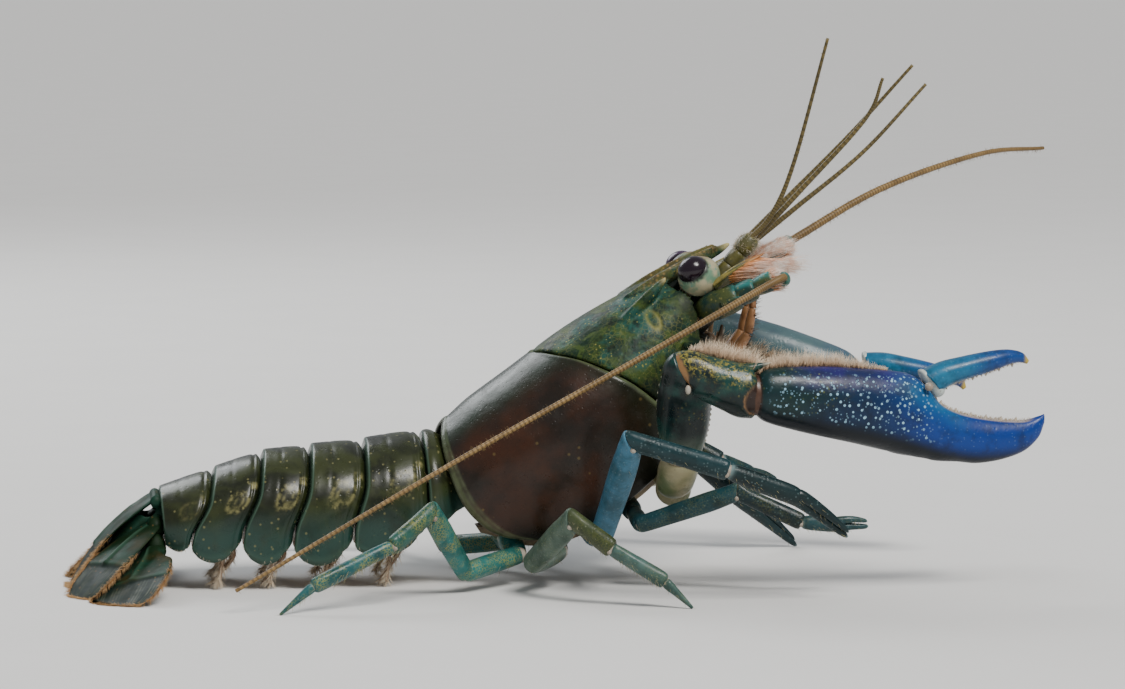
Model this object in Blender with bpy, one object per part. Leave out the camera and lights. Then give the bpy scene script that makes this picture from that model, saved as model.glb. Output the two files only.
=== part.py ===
# A life-size crayfish standing on a flat floor, head raised, one claw held out on each side.
# All sizes are in millimetres until finish() writes the meshes in metres.
# X points to the head, Y to the animal's left, Z up, and the floor is at Z = 0.
from bisect import bisect_right
from math import atan2, cos, pi, radians, sin

import bmesh
import bpy
from mathutils import Matrix, Vector

MM = 0.001
GAP = 0.3  # left between two pieces that meet
CENTRE = Vector((1.45, 0.0, 0.0))  # shifts the animal so that it stands over the origin

# Carapace, in its own frame: a runs forward from the rear edge of the back, d up from there.
CARAPACE_PITCH = radians(32)
CARAPACE_REAR = Vector((-21.7, 0.0, 22.3))
BACK_LINE = [(-5, -0.9), (0, 0), (5, 0.7), (15.2, 1.45), (21, 1.8), (27, 1.7), (33, 1.2), (39, 0.6)]
HALF_WIDTH = [(-5, 9.4), (0, 10.2), (5, 11.6), (11, 12.4), (17, 12.3), (23, 11.4), (29, 9.7), (39, 6.2)]
WIDEST_LINE = [(-5, -9.5), (5, -10.5), (18, -10.3), (25, -8.6), (32, -6.4), (39, -4.4)]
LIP_LINE = [(-5, -16.6), (0, -18.8), (4.6, -21), (9, -21.9), (18, -21.6), (24, -20), (28, -17.7), (39, -7.6)]
REAR_EDGE = [(0, 0), (0.25, -2.6), (0.5, -4.1), (0.7, -3.4), (0.85, -1.6), (1, 1.5)]
GROOVE_EDGE = [(0, 15.2), (0.15, 17.6), (0.3, 21), (0.5, 24.6), (0.75, 27), (1, 28.4)]
FRONT_EDGE = [(0, 38.4), (0.2, 36.4), (0.3, 37.2), (0.42, 38.0), (0.55, 37.4), (0.7, 36.4), (0.85, 34.6),
              (1, 31.8)]
LIP_TUCK = 0.18
LIP_THICKNESS = 1.1
VAULT_RISE = 2.4
VAULT_HALF_WIDTH = 4.6
VAULT_CLOSES = 28.4
REAR_RECESS = 3.0
FRONT_RECESS = 30.5
CARAPACE_CORE = -9.0
ROSTRUM = [(30, 3.3, 0.9, 2.1), (35, 3.2, 0.95, 1.9), (38, 2.9, 0.8, 1.8), (42, 2.3, 0.35, 1.5),
           (45, 1.3, -0.15, 1.1), (46.9, 0.25, -0.5, 0.45)]
FACE = [(30.85, 5.4, -1.9, -9.0), (34, 5.1, -1.9, -9.6), (37, 4.6, -2.3, -9.4), (39.5, 3.8, -2.8, -8.8),
        (41, 2.5, -3.5, -7.6)]
ROSTRUM_TEETH = [(37.4, 2.95, 0.45), (40.4, 2.6, 0.25), (43.2, 1.9, -0.1)]
ROSTRUM_TOOTH = (1.5, 0.75)  # length and root radius
TOOTH_WAY = (0.85, 0.35, 0.4)  # forward, outward and up
SPINE_ROOT_DEPTH = 0.35  # share of a thorn's length that is sunk in what carries it
SPINE_TIP = 0.12
EYE_RIDGE = [(27.0, 6.4, -1.2, 0.45), (29.5, 6.4, -0.75, 0.8), (32.5, 6.3, -0.15, 0.85),
             (34.8, 6.1, 0.35, 0.65), (36.3, 6.0, 0.8, 0.22)]
CAP_MIDDLE = 22.0  # a of the middle of the wall inside the groove
GROOVE_WIDTH = GAP * 1.3 + 0.15
EYE_RADIUS = 2.15
EYE = (40.1, 5.6, -0.4)
EYE_ROOT = (38.3, 2.5, -2.55)
EYE_CUP = [(0, 0.8), (0.35, 1.1), (0.75, 1.95), (1.0, 1.9)]

# Underside plate that carries the legs.
STERNUM_REAR = -4.0
STERNUM_FRONT = 27.4
STERNUM_TOP_HALF = 4.2
STERNUM_KEEL_HALF = 2.4
STERNUM_KEEL = 2.0

# Abdomen: back line point, lean of the ring from upright, half width and full depth at each boundary.
ABDOMEN = [((-19.0, 21.2), 14, 7.9, 11.2), ((-24.9, 20.9), 3, 9.2, 14.8), ((-32.8, 19.6), -2, 9.7, 15.8),
           ((-40.2, 18.9), -6, 9.5, 15.4), ((-46.8, 18.2), -8, 9.0, 14.2), ((-53.5, 16.0), -11, 8.2, 12.0),
           ((-61.2, 13.4), 6, 6.6, 8.2)]
PLATE = [(0, 0.93, 0.86), (0.1, 0.985, 0.88), (0.3, 1.02, 0.97), (0.55, 1.035, 1.0), (0.8, 1.035, 0.96),
         (0.95, 1.02, 0.88), (1, 0.97, 0.86)]
FIRST_PLATE = [(0, 0.9, 0.86), (0.25, 0.885, 0.86), (0.5, 0.885, 0.86), (0.64, 0.94, 0.88), (0.8, 1.0, 0.9),
               (0.94, 1.0, 0.9), (1, 0.96, 0.86)]
PLEURA_BULGE = 1.5
PLEURA_SHORT = 0.86
BELLY = 0.8

# Tail fan blades: root, tip, way across the blade, half width, thickness, rise of the arched middle.
TELSON = ((-61.7, 0, 12.3), (-73.4, 0, -0.4), (0, 1, 0), 5.0, 0.9, 1.3)
INNER_UROPOD = ((-61.7, 3.6, 8.9), (-72.4, 12.2, -0.4), (0.5, 0.86, 0.0), 4.1, 0.8, 0.8)
OUTER_UROPOD = ((-61.6, 5.3, 5.4), (-67.0, 20.2, -0.7), (0.9, 0.38, 0.3), 5.4, 0.8, 0.6)
# Outline of a blade: share of its length, share of its half width, share of its thickness.
BLADE_RIM = [(0, 0.36, 1.3), (0.08, 0.55, 1.3), (0.25, 0.82, 1.2), (0.5, 1.0, 1.0), (0.75, 1.02, 0.85),
             (0.9, 0.86, 0.8), (0.97, 0.6, 0.7), (1.0, 0.3, 0.6)]
TELSON_RIM = [(0, 0.76, 1.2), (0.08, 0.86, 1.3), (0.25, 0.96, 1.2), (0.5, 1.0, 1.0), (0.75, 0.94, 0.85),
              (0.9, 0.78, 0.8), (0.97, 0.56, 0.7), (1.0, 0.3, 0.6)]
STALKED_RIM = [(0, 0.28, 2.2), (0.05, 0.35, 2.9), (0.13, 0.37, 2.9), (0.19, 0.46, 1.9), (0.3, 0.8, 1.2),
               (0.5, 1.0, 1.0), (0.75, 1.02, 0.85), (0.9, 0.88, 0.8), (0.97, 0.62, 0.7), (1.0, 0.3, 0.6)]

# Legs. Joints are the ischium end, knee, wrist, palm end and tip of each leg.
COXA_PLACES = {1: 22.2, 2: 15.2, 3: 9.2, 4: 3.6, 5: -1.4}
COXA_DROP = {1: -23.6, 2: -24.2, 3: -24.2, 4: -23.0, 5: -20.4}
NEAR_LEGS = {
    2: [(4.1, -14, 9.1), (16.3, -21, 14.2), (24.7, -23, 10.2), (29.3, -23.2, 9.9), (33.8, -23, 9.5)],
    3: [(-1.4, -14.5, 7.6), (0.9, -28, 22.1), (13.3, -31, 18.3), (22.9, -30, 14.5), (30.0, -28, 8.8)],
    4: [(-11.1, -16, 4.2), (-6.8, -26, 11.5), (-1.9, -29, 7.8), (4.9, -30.6, 3.6), (8.5, -31.8, 0)],
    5: [(-20.0, -14, 2.9), (-25.4, -22, 12.2), (-31.0, -26, 8.2), (-41.6, -29.4, 3.6), (-46.2, -31, 0)],
}
FAR_LEGS = {
    2: [(4.3, 13.5, 9.3), (13.0, 22, 18.0), (20.5, 20, 14.0), (25.5, 22, 11.5), (29.7, 24, 9.7)],
    3: [(-1.2, 14.5, 7.6), (5.0, 27, 21.0), (16.0, 24, 14.5), (25.0, 24, 7.0), (33.0, 27.6, 0)],
    4: [(-11.0, 16, 4.2), (-10.0, 26, 12.0), (-8.6, 30, 7.8), (-6.0, 31.4, 3.6), (-5.0, 32.0, 0)],
    5: [(-20.0, 14, 2.9), (-24.4, 22.5, 12.2), (-29.5, 27, 8.2), (-39.0, 30.2, 3.6), (-43.4, 31.6, 0)],
}
LEG_THICKNESS = {2: 1.35, 3: 1.75, 4: 1.6, 5: 1.5}
FOOT_FLAT = 0.35

# Claws: the claw frame starts at the wrist, l runs to the finger tip, h towards the moving finger.
NEAR_ARM = [(8.6, -13, 13.4), (9.0, -17.5, 18.4), (8.7, -24, 31.0), (18.0, -25, 27.7)]
FAR_ARM = [(8.6, 13, 13.4), (9.0, 17.5, 18.6), (8.8, 22.5, 33.6), (17.8, 21, 32.6)]
NEAR_CLAW_WAY = Vector((0.985, 0.12, -0.025))
FAR_CLAW_WAY = Vector((0.94, -0.2, -0.276))
NEAR_GAPE = 0.0
FAR_GAPE = radians(-8)
PALM = [(0, 2.5, -2.6, 2.0), (1.5, 3.5, -3.6, 2.7), (5.9, 3.9, -4.8, 3.2), (11.6, 3.85, -6.0, 3.5),
        (17.2, 3.45, -7.2, 3.4), (21.6, 2.9, -8.1, 3.0), (24.1, 1.0, -8.6, 2.7), (26.0, -1.0, -8.9, 2.4),
        (28.5, -2.2, -9.0, 2.2), (31.7, -2.9, -9.2, 2.0), (35.5, -3.3, -8.6, 1.7), (38.3, -3.3, -7.5, 1.3),
        (40.2, -2.8, -5.8, 0.8), (41.0, -2.5, -3.9, 0.35)]
DACTYL = [(24.5, 1.9, 2.0, 1.9), (26.6, 3.0, 1.75, 2.0), (29.0, 3.7, 1.6, 1.9), (31.4, 4.3, 1.5, 1.7),
          (33.8, 4.9, 1.3, 1.5), (35.8, 5.3, 1.0, 1.1), (37.4, 5.2, 0.7, 0.7), (38.4, 4.6, 0.3, 0.3)]
DACTYL_ROOT_WAY = (0.72, 0.69)
PALM_TEETH = [27.4, 30.0, 32.6, 35.2]
DACTYL_TEETH = [1, 2, 3, 4]
CLAW_TOOTH = (0.55, 0.5)  # height and root radius
TOOTH_SUNK = 0.2
WRIST_SPINE = (2.0, 4.4, 0.9)  # reach past the wrist, height above it, root radius
# Arm segments: share of the segment's length, half breadth, half height.
ARM_ROOT = (2.1, 2.1)
ARM_MERUS_ROOT = (1.9, 2.2)
ARM_MERUS = [(0.14, 2.3, 2.9), (0.38, 2.6, 3.5), (0.64, 2.6, 3.5)]
ARM_ELBOW = (2.0, 3.0)
ARM_CARPUS = [(0.4, 2.5, 2.9), (0.66, 2.8, 3.5), (0.87, 2.6, 3.5)]
ARM_WRIST = (2.0, 2.5)
WRIST_SPINE_ROOT = (0.85, 2.9)  # share along the carpus and height over its middle

# Feelers.
NEAR_FLAGELLUM = [(24.3, -10.3, 42.2), (22.0, -12.2, 41.6), (3.6, -16.6, 32.1), (-23, -24, 18.8),
                  (-51.9, -30, 3.2)]
FAR_FLAGELLUM = [(28.2, 8.6, 46.0), (42.5, 14, 53.2), (59.2, 24, 57.7), (70.4, 31.5, 58.2)]
PEDUNCLE_ROOT = (38.4, 4.6, -5.9)
PEDUNCLE_ELBOW = (41.4, 7.4, -6.3)
PEDUNCLE_ENDS = {-1: (23.3, -10, 42.3), 1: (27.6, 8.3, 45.6)}
PEDUNCLE = [(0.35, 1.6), (0.6, 1.2), (0.85, 1.35), (1.0, 1.0)]  # share from elbow to end, radius
FLAGELLUM_THICK = 0.6
FLAGELLUM_THIN = 0.26
ANTENNULE_ROOT = (41.4, 1.3, -4.4)
ANTENNULE_STALK = [(0.5, 1.0), (0.8, 0.95), (1.0, 0.9)]
ANTENNULE_ENDS = {-1: (20.9, -2.2, 46.9), 1: (21.4, 1.8, 46.6)}
ANTENNULE_WHIPS = {
    -1: [[(23.8, -3.2, 50.6), (26.7, -5, 58.3), (30.5, -9, 75.1)],
         [(28.0, -2.6, 54.0), (37.0, -3, 63.9), (39.2, -4, 69.5)]],
    1: [[(26.5, 1.6, 52.4), (35.5, 1.0, 61.5), (44.2, 0, 71.2)],
        [(28.4, 2.6, 51.4), (38.0, 3.6, 59.0), (47.1, 4.8, 68.4)]],
}
WHIP_THICK = 0.45
WHIP_THIN = 0.22
SCALE_THICKNESS = 0.35
SCALE_BASE = (41.1, 5.9, -3.85)
SCALE_TIP = (48.8, 5.0, -4.0)
SCALE_OUTLINE = [(0, 0.8), (0.15, 1.3), (0.4, 1.8), (0.65, 1.6), (0.85, 0.9), (1, 0.3)]
MAXILLIPED = [(27.8, 2.2, -17.6, 1.5, 1.2), (33, 2.4, -15.8, 1.7, 1.2), (38, 2.6, -14.2, 1.5, 1.0),
              (42.2, 2.6, -12.4, 1.3, 0.9), (44.6, 2.4, -9.8, 1.1, 0.7), (46, 2.2, -7.8, 0.6, 0.45)]

FORWARD = Vector((cos(CARAPACE_PITCH), 0, sin(CARAPACE_PITCH)))
UPWARD = Vector((-sin(CARAPACE_PITCH), 0, cos(CARAPACE_PITCH)))
LEFT = Vector((0, 1, 0))
DOWN = Vector((0, 0, -1))
CARAPACE_HALF_SIDES = 14
LIP_INDEX = 10
ABDOMEN_HALF_SIDES = 12
PLEURA_INDEX = 8

FINISHES = {
    "shell": ((0.035, 0.032, 0.016), 0.3),
    "head": ((0.03, 0.06, 0.025), 0.35),
    "tail": ((0.05, 0.055, 0.025), 0.35),
    "claw": ((0.01, 0.06, 0.32), 0.3),
    "arm": ((0.01, 0.05, 0.05), 0.35),
    "leg": ((0.03, 0.12, 0.14), 0.4),
    "pale": ((0.45, 0.42, 0.34), 0.5),
    "eye": ((0.012, 0.008, 0.014), 0.1),
    "feeler": ((0.12, 0.085, 0.04), 0.5),
}


def curve(points, x):
    # Value at x of a smooth curve through the points.
    i = max(0, min(len(points) - 2, bisect_right([p[0] for p in points], x) - 1))
    (x0, y0), (x1, y1) = points[i], points[i + 1]
    before, after = points[max(i - 1, 0)], points[min(i + 2, len(points) - 1)]
    span = x1 - x0
    t = max(0.0, min(1.0, (x - x0) / span))
    m0 = (y1 - before[1]) / (x1 - before[0]) * span
    m1 = (after[1] - y0) / (after[0] - x0) * span
    return (y0 * (2 * t**3 - 3 * t**2 + 1) + m0 * (t**3 - 2 * t**2 + t)
            + y1 * (3 * t**2 - 2 * t**3) + m1 * (t**3 - t**2))


def flow(points, count):
    # Evenly numbered places on a smooth curve through points in space.
    rows = [[(i, p[axis]) for i, p in enumerate(points)] for axis in range(3)]
    last = len(points) - 1
    return [Vector([curve(row, last * i / (count - 1)) for row in rows]) for i in range(count)]


def mix(first, second, share):
    return first + (second - first) * share


def body_point(a, y, d):
    return CARAPACE_REAR + FORWARD * a + LEFT * y + UPWARD * d


def clear_scene():
    for obj in list(bpy.data.objects):
        bpy.data.objects.remove(obj, do_unlink=True)


def tube(sides, rings, place, ends):
    # A closed skin of rings. place(ring, turn) gives each point, ends the two cap middles.
    bm = bmesh.new()
    bmesh.ops.create_circle(bm, segments=sides, radius=1.0, cap_ends=False)
    edges = list(bm.edges)
    for _ in range(rings - 1):
        grown = bmesh.ops.extrude_edge_only(bm, edges=edges)["geom"]
        bmesh.ops.translate(bm, vec=(0, 0, 1), verts=[g for g in grown if isinstance(g, bmesh.types.BMVert)])
        edges = [g for g in grown if isinstance(g, bmesh.types.BMEdge) and g.is_boundary]
    caps = bmesh.ops.holes_fill(bm, edges=bm.edges, sides=0)["faces"]
    middles = bmesh.ops.poke(bm, faces=caps)["verts"]
    inner = set(middles)
    for vert in bm.verts:
        ring = round(vert.co.z)
        if vert in inner:
            vert.co = ends[0] if ring == 0 else ends[1]
        else:
            vert.co = place(ring, atan2(vert.co.x, vert.co.y))
    bmesh.ops.recalc_face_normals(bm, faces=bm.faces)
    return bm


def limb(stations, side, sides=10):
    # A tube through stations of centre, way, half breadth along side, and half height.
    frames = []
    for centre, way, breadth, height in stations:
        way = Vector(way).normalized()
        across = (side - way * side.dot(way)).normalized()
        frames.append((Vector(centre), across * breadth, way.cross(across) * height))

    def place(ring, turn):
        centre, across, upright = frames[ring]
        return centre + across * sin(turn) + upright * cos(turn)

    return tube(sides, len(frames), place, (frames[0][0], frames[-1][0]))


def whip(points, thick, thin, rings, sides=6):
    # A tapering feeler along a smooth curve.
    line = flow(points, rings)
    stations = []
    for i, centre in enumerate(line):
        way = line[min(i + 1, rings - 1)] - line[max(i - 1, 0)]
        radius = mix(thick, thin, i / (rings - 1))
        stations.append((centre, way, radius, radius))
    return limb(stations, Vector((0.3, 1, 0.2)), sides)


def joined_way(before, here, after):
    return ((Vector(here) - before).normalized() + (Vector(after) - here).normalized()).normalized()


def segment(start, end, start_way, end_way, sizes):
    # Stations of one limb segment. sizes holds half breadth and height at the root, middle and end.
    start, end = Vector(start), Vector(end)
    way = (end - start).normalized()
    stations = [(start, start_way, *[s * 0.8 for s in sizes[0]])]
    for share, size in ((0.16, sizes[0]), (0.5, sizes[1]), (0.86, sizes[2])):
        stations.append((start.lerp(end, share), way, *size))
    stations.append((end, end_way, *[s * 0.8 for s in sizes[2]]))
    return stations


def fuse(pieces):
    # One Boolean union of closed pieces, of which the largest closed surface is kept.
    group = bpy.data.collections.new("pieces")
    objects = []
    for i, bm in enumerate(pieces):
        mesh = bpy.data.meshes.new("piece")
        bm.to_mesh(mesh)
        bm.free()
        obj = bpy.data.objects.new("piece", mesh)
        objects.append(obj)
        (bpy.context.scene.collection if i == 0 else group).objects.link(obj)
    union = objects[0].modifiers.new("union", "BOOLEAN")
    union.operation = "UNION"
    union.solver = "EXACT"
    union.operand_type = "COLLECTION"
    union.collection = group
    evaluated = objects[0].evaluated_get(bpy.context.evaluated_depsgraph_get())
    joined = bmesh.new()
    joined.from_mesh(evaluated.to_mesh())
    for obj in objects:
        bpy.data.objects.remove(obj, do_unlink=True)
    bpy.data.collections.remove(group)
    keep_largest(joined)
    return joined


def keep_largest(bm):
    left = set(bm.verts)
    islands = []
    while left:
        island, front = set(), [left.pop()]
        while front:
            vert = front.pop()
            island.add(vert)
            near = {edge.other_vert(vert) for edge in vert.link_edges} & left
            left -= near
            front.extend(near)
        islands.append(island)
    largest = max(islands, key=len)
    bmesh.ops.delete(bm, geom=[v for v in bm.verts if v not in largest], context="VERTS")


def finish(name, bm, look, origin):
    # Writes the node in metres, with its own origin at its root and its own material.
    bmesh.ops.recalc_face_normals(bm, faces=bm.faces)
    bmesh.ops.translate(bm, vec=-Vector(origin), verts=bm.verts)
    bmesh.ops.scale(bm, vec=(MM, MM, MM), verts=bm.verts)
    mesh = bpy.data.meshes.new(name)
    bm.to_mesh(mesh)
    bm.free()
    mesh.shade_smooth()
    mesh.set_sharp_from_angle(angle=radians(50))
    obj = bpy.data.objects.new(name, mesh)
    obj.location = (Vector(origin) + CENTRE) * MM
    obj.parent = bpy.data.objects["crayfish"]
    bpy.context.scene.collection.objects.link(obj)
    colour, roughness = FINISHES[look]
    material = bpy.data.materials.new(name)
    material.use_nodes = True
    shader = material.node_tree.nodes["Principled BSDF"]
    shader.inputs["Base Color"].default_value = (*colour, 1)
    shader.inputs["Roughness"].default_value = roughness
    shader.inputs["Metallic"].default_value = 0.0
    mesh.materials.append(material)


def side_name(side):
    return "right" if side < 0 else "left"


def carapace_point(a, part, scale):
    # A point of the skin, part 0 at the middle of the back to 1 at the lower lip.
    middle = curve(WIDEST_LINE, a)
    turn = part * pi
    if part < 0.5:
        y = curve(HALF_WIDTH, a) * sin(turn)
        d = mix(middle, curve(BACK_LINE, a), cos(turn))
    else:
        y = curve(HALF_WIDTH, a) * (1 - LIP_TUCK * (1 - sin(turn)))
        d = mix(middle, curve(LIP_LINE, a), -cos(turn))
    return y * scale, mix(middle, d, scale)


def vault_point(a, index, scale):
    # A point of the underside between the lips, index 1 at the lip to 4 at the middle.
    middle = curve(WIDEST_LINE, a)
    lip = curve(LIP_LINE, a)
    lip_y = curve(HALF_WIDTH, a) * (1 - LIP_TUCK)
    vault = min(VAULT_HALF_WIDTH, lip_y - 2 * LIP_THICKNESS)
    top = lip + mix(VAULT_RISE, LIP_THICKNESS / 2, max(0.0, min(1.0, (a - VAULT_CLOSES) / 2)))
    y, d = {1: (lip_y - LIP_THICKNESS, lip + LIP_THICKNESS / 2), 2: (vault, top), 3: (vault / 2, top),
            4: (0, top)}[index]
    return y * scale, mix(middle, d, scale)


def carapace_ring(edge, scale):
    # Places of one ring, where edge(part) gives a at each part of the way round.
    def place(turn):
        index = round(abs(turn) / pi * CARAPACE_HALF_SIDES)
        part = min(index, LIP_INDEX) / LIP_INDEX
        a = edge(part)
        if index <= LIP_INDEX:
            y, d = carapace_point(a, part, scale)
        else:
            y, d = vault_point(a, index - LIP_INDEX, scale)
        return body_point(a, y if turn > 0 else -y, d)

    return place


def carapace_half(rings, ends):
    return tube(2 * CARAPACE_HALF_SIDES, len(rings), lambda ring, turn: rings[ring](turn), ends)


def between(rear, front, share):
    return lambda part: mix(curve(rear, part), curve(front, part), share)


def spine(root, tip, radius, side=LEFT):
    # A pointed thorn whose root is sunk in what carries it.
    way = tip - root
    places = [(root - way * SPINE_ROOT_DEPTH, radius * 1.1), (root + way * 0.35, radius * 0.7),
              (tip, SPINE_TIP)]
    return limb([(place, way, thick, thick) for place, thick in places], side, 6)


def make_carapace_back():
    rings = [carapace_ring(lambda part: REAR_RECESS, 0.88),
             carapace_ring(between(REAR_EDGE, GROOVE_EDGE, 0), 0.95)]
    for share, scale in ((0, 1.0), (0.03, 1.015), (0.07, 1.0), (0.2, 1.0), (0.35, 1.0), (0.5, 1.0), (0.65, 1.0),
                         (0.8, 1.0), (0.93, 1.0), (0.99, 0.975)):
        rings.append(carapace_ring(between(REAR_EDGE, GROOVE_EDGE, share), scale))
    ends = (body_point(REAR_RECESS, 0, CARAPACE_CORE), body_point(CAP_MIDDLE, 0, CARAPACE_CORE))
    finish("carapace_back", carapace_half(rings, ends), "shell", CARAPACE_REAR)


def make_carapace_head():
    rear = [(part, a + GROOVE_WIDTH) for part, a in GROOVE_EDGE]
    rings = []
    for share, scale in ((0, 0.975), (0.06, 1.0), (0.2, 1.0), (0.35, 1.0), (0.5, 1.0), (0.65, 1.0), (0.8, 1.0),
                         (0.92, 1.0), (1, 0.98)):
        rings.append(carapace_ring(between(rear, FRONT_EDGE, share), scale))
    rings.append(carapace_ring(lambda part: FRONT_RECESS, 0.7))
    ends = (body_point(CAP_MIDDLE + GROOVE_WIDTH, 0, CARAPACE_CORE), body_point(FRONT_RECESS, 0, -6.0))
    stations = [(body_point(a, 0, top - thick / 2), FORWARD, half, thick / 2)
                for a, half, top, thick in ROSTRUM]
    pieces = [carapace_half(rings, ends), limb(stations, LEFT, 10)]
    length, radius = ROSTRUM_TOOTH
    ahead, out, rise = TOOTH_WAY
    for side in (-1, 1):
        way = FORWARD * ahead + UPWARD * rise + LEFT * side * out
        for a, y, d in ROSTRUM_TEETH:
            root = body_point(a, side * y, d)
            pieces.append(spine(root, root + way * length, radius))
        ridge = [(body_point(a, side * y, d), FORWARD, thick, thick) for a, y, d, thick in EYE_RIDGE]
        pieces.append(limb(ridge, LEFT, 8))
    finish("carapace_head", fuse(pieces), "head", body_point(GROOVE_EDGE[0][1], 0, 0))


def make_face():
    stations = [(body_point(a, 0, (top + low) / 2), FORWARD, half, (top - low) / 2)
                for a, half, top, low in FACE]
    finish("face", limb(stations, LEFT, 14), "head", stations[0][0])


def make_eye(side):
    a, y, d = EYE
    centre = body_point(a, side * y, d)
    root = body_point(EYE_ROOT[0], side * EYE_ROOT[1], EYE_ROOT[2])
    outward = LEFT * side * 0.55 + UPWARD * 0.84
    stalk = [(root.lerp(centre, share), centre - root if share else outward, radius, radius)
             for share, radius in EYE_CUP]
    ball = bmesh.new()
    bmesh.ops.create_uvsphere(ball, u_segments=14, v_segments=9, radius=EYE_RADIUS)
    bmesh.ops.translate(ball, vec=centre, verts=ball.verts)
    finish(f"eye_{side_name(side)}", fuse([ball, limb(stalk, FORWARD, 10)]), "eye", root)


def sternum_wall(a, share, side):
    # Point on the slanted side of the underside plate, share 0 at its top to 1 at its keel.
    lip = curve(LIP_LINE, a)
    top = lip + VAULT_RISE - GAP
    half = mix(STERNUM_TOP_HALF, STERNUM_KEEL_HALF, share)
    return body_point(a, side * half, mix(top, lip - STERNUM_KEEL, share))


def make_sternum():
    places = [STERNUM_REAR, 0, 3, 6, 10, 14, 18, 21, 24, STERNUM_FRONT]
    corners = [(1, 0.0), (1, 0.33), (1, 0.66), (1, 1.0), (-1, 1.0), (-1, 0.66), (-1, 0.33), (-1, 0.0)]

    def place(ring, turn):
        a = places[ring]
        side, share = corners[round((turn % (2 * pi)) / (2 * pi) * len(corners)) % len(corners)]
        point = sternum_wall(a, share, side)
        tight = min(1.0, (a + 6.5) / 6, (33.5 - a) / 8)
        return Vector((point.x, point.y * tight, point.z))

    ends = [body_point(a, 0, curve(LIP_LINE, a) + VAULT_RISE / 3) for a in (STERNUM_REAR, STERNUM_FRONT)]
    finish("sternum", tube(len(corners), len(places), place, ends), "pale", ends[0])


def abdomen_boundary(index, along):
    # Frame and size of the ring at a boundary, moved along the abdomen by a small amount.
    (x, z), lean, half, depth = ABDOMEN[index]
    lean = radians(lean)
    drop = Vector((sin(lean), 0, -cos(lean)))
    return Vector((x + along, 0, z)), drop, half, depth


def abdomen_point(frame, turn, scale, pleura, bulge):
    top, drop, half, depth = frame
    index = round(abs(turn) / pi * ABDOMEN_HALF_SIDES)
    side = 1 if turn > 0 else -1
    part = min(index, PLEURA_INDEX) / PLEURA_INDEX
    arch = min(part / 0.72, 1.0) * pi / 2
    y = half * sin(arch)
    fall = 0.56 * depth * (1 - cos(arch))
    if part > 0.72:
        fall = mix(0.56, pleura, (part - 0.72) / 0.28) * depth
        y = half * mix(1.0, 0.95, (part - 0.72) / 0.28)
    if index > PLEURA_INDEX:
        y, fall = {1: (0.83 * half, (pleura - 0.03) * depth), 2: (0.6 * half, 0.855 * depth),
                   3: (0.3 * half, 0.815 * depth), 4: (0.0, BELLY * depth)}[index - PLEURA_INDEX]
    core = BELLY * 0.72 * depth
    fall = mix(core, fall, scale)
    swell = max(0.0, min(1.0, (fall / depth - 0.3) / 0.45))
    back = bulge * swell * swell * (3 - 2 * swell)
    return top + drop * fall + Vector((-back, side * y * scale, 0))


def make_abdomen(number):
    # One ring of the abdomen with its hanging side plates, from boundary number - 1 to number.
    front = abdomen_boundary(number - 1, -GAP / 2 if number > 1 else 0)
    rear = abdomen_boundary(number, GAP / 2)
    front_bulge = PLEURA_BULGE if number > 2 else 0.0
    rear_bulge = PLEURA_BULGE if 1 < number < 6 else 0.0
    profile = FIRST_PLATE if number == 1 else PLATE

    def place(ring, turn):
        share, scale, pleura = profile[ring]
        if number in (1, 6):
            pleura = mix(PLEURA_SHORT, pleura, 0.4)
        first = abdomen_point(front, turn, scale, pleura, front_bulge)
        return first.lerp(abdomen_point(rear, turn, scale, pleura, rear_bulge), share)

    core = BELLY * 0.72
    ends = [frame[0] + frame[1] * frame[3] * core - Vector((bulge * 0.6, 0, 0))
            for frame, bulge in ((front, front_bulge), (rear, rear_bulge))]
    ring = tube(2 * ABDOMEN_HALF_SIDES, len(profile), place, ends)
    pieces = [ring] + [pleopod(front, rear, side, number, ramus) for side in (-1, 1) for ramus in (0, 1)
                       if 2 <= number <= 5]
    body = fuse(pieces) if len(pieces) > 1 else ring
    finish(f"abdomen_{number}", body, "shell", front[0])


def pleopod(front, rear, side, number, ramus):
    # One curved ramus of a swimming leg, rooted in the belly.
    top, drop, half, depth = [mix(f, r, 0.5) for f, r in zip(front, rear)]
    root = top + drop * depth * 0.72 + LEFT * side * half * 0.42
    outward = LEFT * side
    reach = root.z - 0.7
    bend = root - Vector((0, 0, reach * 0.5)) + outward * (0.6 + ramus) + Vector((0.6 - ramus * 1.5, 0, 0))
    tip = root - Vector((0, 0, reach)) + outward * (0.8 + 1.6 * ramus) + Vector((-2.2 + ramus * 0.8, 0, 0))
    stations = [(root, DOWN, 0.9, 0.6), (root.lerp(bend, 0.6), bend - root, 0.95, 0.6),
                (bend, tip - root, 1.1, 0.5), (bend.lerp(tip, 0.6), tip - bend, 0.9, 0.4),
                (tip, tip - bend, 0.4, 0.28)]
    return limb(stations, outward, 6)


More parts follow.
